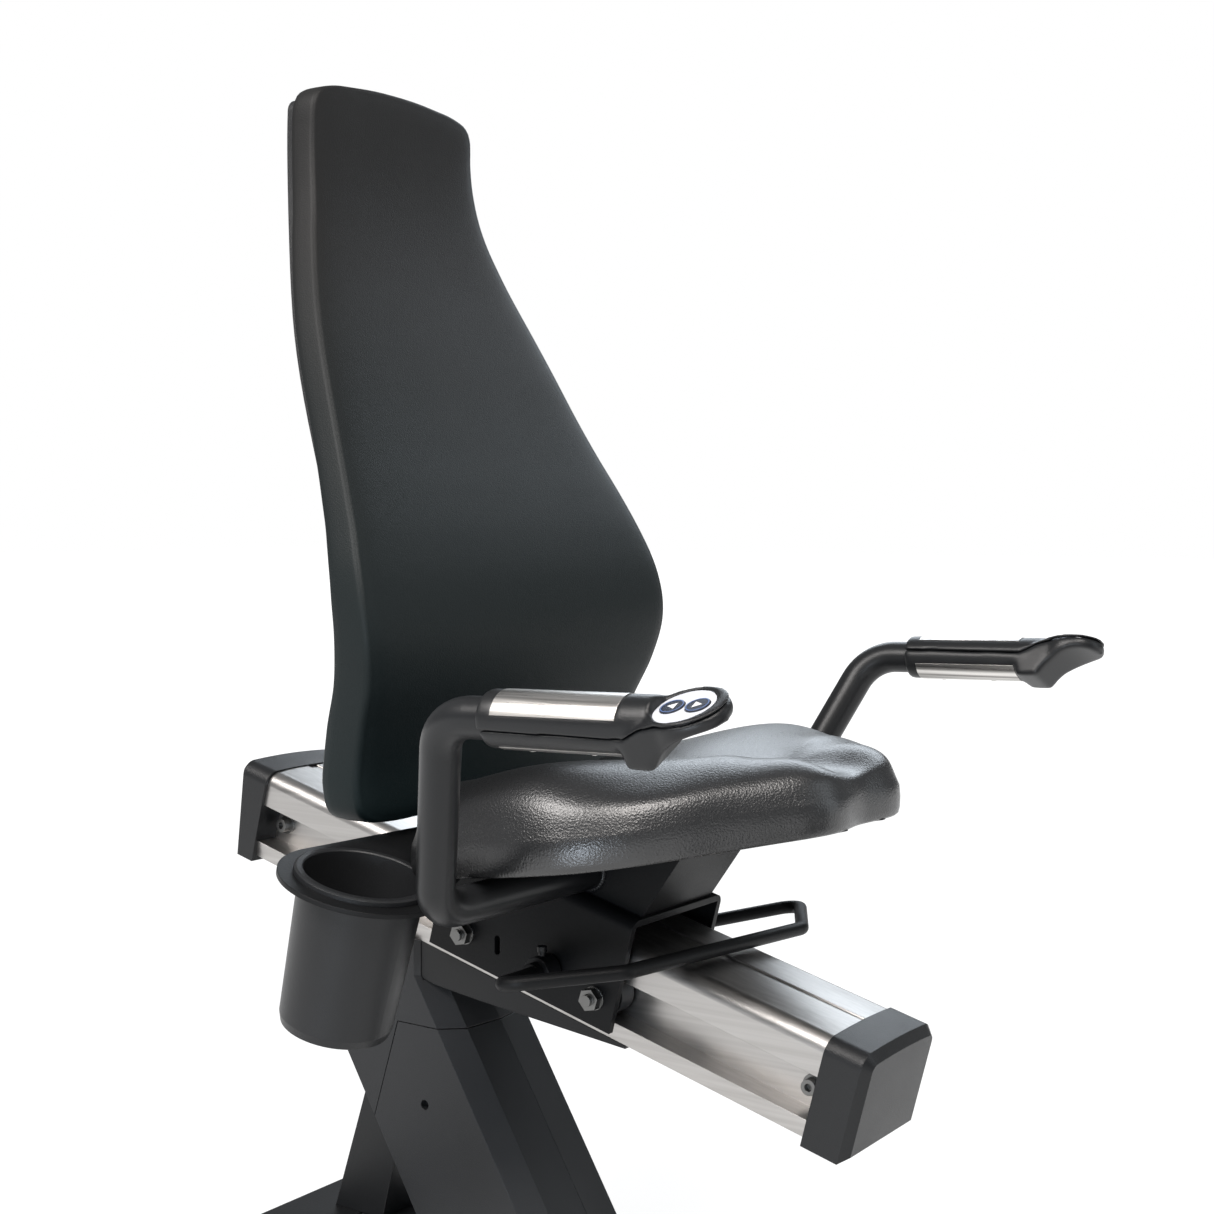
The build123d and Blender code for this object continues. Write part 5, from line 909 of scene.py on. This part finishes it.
# ------------------------------------------------------------------ thumb keys
def prism_points(shape, middle, forward, across, up, low, high):
    """Corners of a flat shape raised between two heights over a middle point."""
    level = [middle + forward * a + across * b for a, b in shape]
    return [p + up * high for p in level] + [p + up * low for p in level]


def prism_faces(count):
    """Faces of a raised flat shape: top, bottom and sides."""
    sides = [(i, (i + 1) % count, count + (i + 1) % count, count + i) for i in range(count)]
    return [tuple(range(count)), tuple(reversed(range(count, 2 * count)))] + sides


ARROW_TIP, ARROW_TAIL, ARROW_WING = 0.0036, 0.0026, 0.0036
RING_OUTER, RING_WIDTH, RING_POINTS = 0.0079, 0.00055, 48
PRINT_LIFT = 0.00015                      # a mark stands this proud of its key
ARROW_ROOT, RING_ROOT = -0.0004, -0.0006  # and starts this far below the key's top


def key_marks():
    """A white arrow and a fine blue ring on each thumb key."""
    for side in ("left", "right"):
        for end, way in (("rear", -1), ("front", 1)):
            node, body = f"button_{side}_{end}", f"thumb_button_{side}_{end}"
            up = -Vector(JOINTS[node + "_press"]["axis"]).normalized()
            forward = Vector((up.z, 0, -up.x)).normalized()
            across = up.cross(forward)
            top = max(v.co @ up for v in NODES[node].data.vertices)
            middle = centre_of(node)
            middle += up * (top - middle @ up)
            tip, tail = ARROW_TIP * way, -ARROW_TAIL * way
            shape = [(tip, 0.0), (tail, ARROW_WING), (tail, -ARROW_WING)]
            points = prism_points(shape, middle, forward, across, up, ARROW_ROOT, PRINT_LIFT)
            arrow = mesh_from(f"arrow_{side}_{end}", points, prism_faces(3))
            piece(arrow.name, arrow, body, "button_plastic", WHITE_INK, False)
            rings, count, inner = [], RING_POINTS, RING_OUTER - RING_WIDTH
            for radius, rise in ((RING_OUTER, RING_ROOT), (RING_OUTER, PRINT_LIFT),
                                 (inner, PRINT_LIFT), (inner, RING_ROOT)):
                for k in range(count):
                    turn = 2 * math.pi * k / count
                    radial = forward * math.cos(turn) + across * math.sin(turn)
                    rings.append(middle + radius * radial + up * rise)
            faces = rings_to_faces(4, count)
            faces += [(3 * count + k, 3 * count + (k + 1) % count, (k + 1) % count, k) for k in range(count)]
            band = mesh_from(f"key_ring_{side}_{end}", rings, faces)
            piece(band.name, band, body, "button_plastic", BLUE_INK, False)


key_marks()

# ------------------------------------------------------------------ stage
FLOOR_HALF = 30.0
FLOOR_GLOW, FLOOR_GLOW_SHARE = 1.2, 0.75  # strength, and share near the middle where shadows fall
GLOW_NEAR, GLOW_REACH = 1.6, 3.0          # distance where that share starts to grow, and over how much
BACKDROP, SURROUND = 1.0, 0.22            # the world where it is seen and where it lights


def stage_floor():
    """A wide pale floor that looks white to the camera, keeps the shadow and lights the underside."""
    mesh = bpy.data.meshes.new("floor")
    corners = [(FLOOR_HALF * x, FLOOR_HALF * y, 0) for x, y in ((-1, -1), (1, -1), (1, 1), (-1, 1))]
    mesh.from_pydata(corners, [], [(0, 1, 2, 3)])
    floor = bpy.data.objects.new("floor", mesh)
    bpy.context.scene.collection.objects.link(floor)
    finish = Finish("floor_paint")
    ray = finish.node("LightPath")
    sees = Value(finish, ray.socket.node.outputs["Is Camera Ray"])
    glossy = Value(finish, ray.socket.node.outputs["Is Glossy Ray"])
    through = Value(finish, ray.socket.node.outputs["Is Transmission Ray"])
    seen = finish.maths("MINIMUM", sees + glossy + through, 1.0)
    paint = finish.node("BsdfDiffuse", None, {"Color": (0.8, 0.8, 0.8, 1)})
    bounce = finish.node("BsdfDiffuse", None, {"Color": (0.3, 0.3, 0.3, 1)})
    glow = finish.node("Emission", None, {"Color": (1, 1, 1, 1), "Strength": FLOOR_GLOW})
    reach = finish.node("VectorMath", {"operation": "LENGTH"}, {0: finish.coordinates()}, result=1)
    far = finish.clamped((reach - GLOW_NEAR) / GLOW_REACH)
    share = FLOOR_GLOW_SHARE + far * (1 - FLOOR_GLOW_SHARE)
    bright = finish.node("MixShader", None, {0: share, 1: paint, 2: glow})
    mixed = finish.node("MixShader", None, {0: seen, 1: bounce, 2: bright})
    finish.node("OutputMaterial", None, {"Surface": mixed})
    mesh.materials.append(finish.material)


def world_light():
    """A soft white surround: white where it is seen, dim where it lights."""
    world = bpy.data.worlds.new("studio")
    bpy.context.scene.world = world
    world.use_nodes = True
    finish = Finish("studio", world.node_tree)
    ray = finish.node("LightPath")
    sees = Value(finish, ray.socket.node.outputs["Is Camera Ray"])
    through = Value(finish, ray.socket.node.outputs["Is Transmission Ray"])
    seen = finish.maths("MINIMUM", sees + through, 1.0)
    dim = finish.node("Background", None, {"Color": (0.95, 0.97, 1.0, 1), "Strength": SURROUND})
    white = finish.node("Background", None, {"Color": (1, 1, 1, 1), "Strength": BACKDROP})
    mixed = finish.node("MixShader", None, {0: seen, 1: dim, 2: white})
    finish.node("OutputWorld", None, {"Surface": mixed})


def area_lamp(name, place, aim, size, watts, colour):
    """A soft rectangular lamp that faces a point."""
    lamp = bpy.data.lights.new(name, "AREA")
    lamp.shape = "RECTANGLE"
    lamp.size, lamp.size_y = size
    lamp.energy = watts
    lamp.color = colour
    holder = bpy.data.objects.new(name, lamp)
    holder.location = place
    holder.rotation_mode = "QUATERNION"
    holder.rotation_quaternion = (Vector(aim) - Vector(place)).to_track_quat("-Z", "Y")
    bpy.context.scene.collection.objects.link(holder)


SEAT_AIM = at(0.0, 0.0, 0.2)
LAMPS = [                 # name, place, size, watts and colour
    ("key", (1.2, -0.9, 1.9), (1.1, 0.9), 42, (1.0, 0.955, 0.92)),
    ("side", (-0.5, -1.95, 1.95), (1.9, 1.0), 78, (1.0, 0.965, 0.94)),
    ("low", (0.75, -2.3, -0.12), (0.9, 0.4), 15, (0.78, 0.88, 1.0)),
    ("rim", (-0.6, 2.2, 1.5), (2.2, 1.2), 32, (0.84, 0.92, 1.0)),
    ("front", (2.2, 0.9, 0.8), (1.0, 1.4), 6, (0.88, 0.95, 1.0)),
]
EYE = at(0.95145, -1.28186, 0.3233)
EYE_YAW, EYE_PITCH = math.radians(35.03), math.radians(-2.85)
EYE_SENSOR, EYE_LENS, EYE_REACH = 36.0, 53.377, (0.05, 100.0)


def camera():
    """The three-quarter view over the right armrest."""
    data = bpy.data.cameras.new("camera")
    data.sensor_width, data.lens = EYE_SENSOR, EYE_LENS
    data.clip_start, data.clip_end = EYE_REACH
    holder = bpy.data.objects.new("camera", data)
    level = math.cos(EYE_PITCH)
    look = Vector((-math.sin(EYE_YAW) * level, math.cos(EYE_YAW) * level, math.sin(EYE_PITCH)))
    holder.location = EYE
    holder.rotation_mode = "QUATERNION"
    holder.rotation_quaternion = look.to_track_quat("-Z", "Y")
    bpy.context.scene.collection.objects.link(holder)
    bpy.context.scene.camera = holder


stage_floor()
world_light()
for label, place, size, watts, colour in LAMPS:
    area_lamp(label, at(*place), SEAT_AIM, size, watts, colour)
camera()
bpy.context.scene.view_settings.view_transform = "Standard"
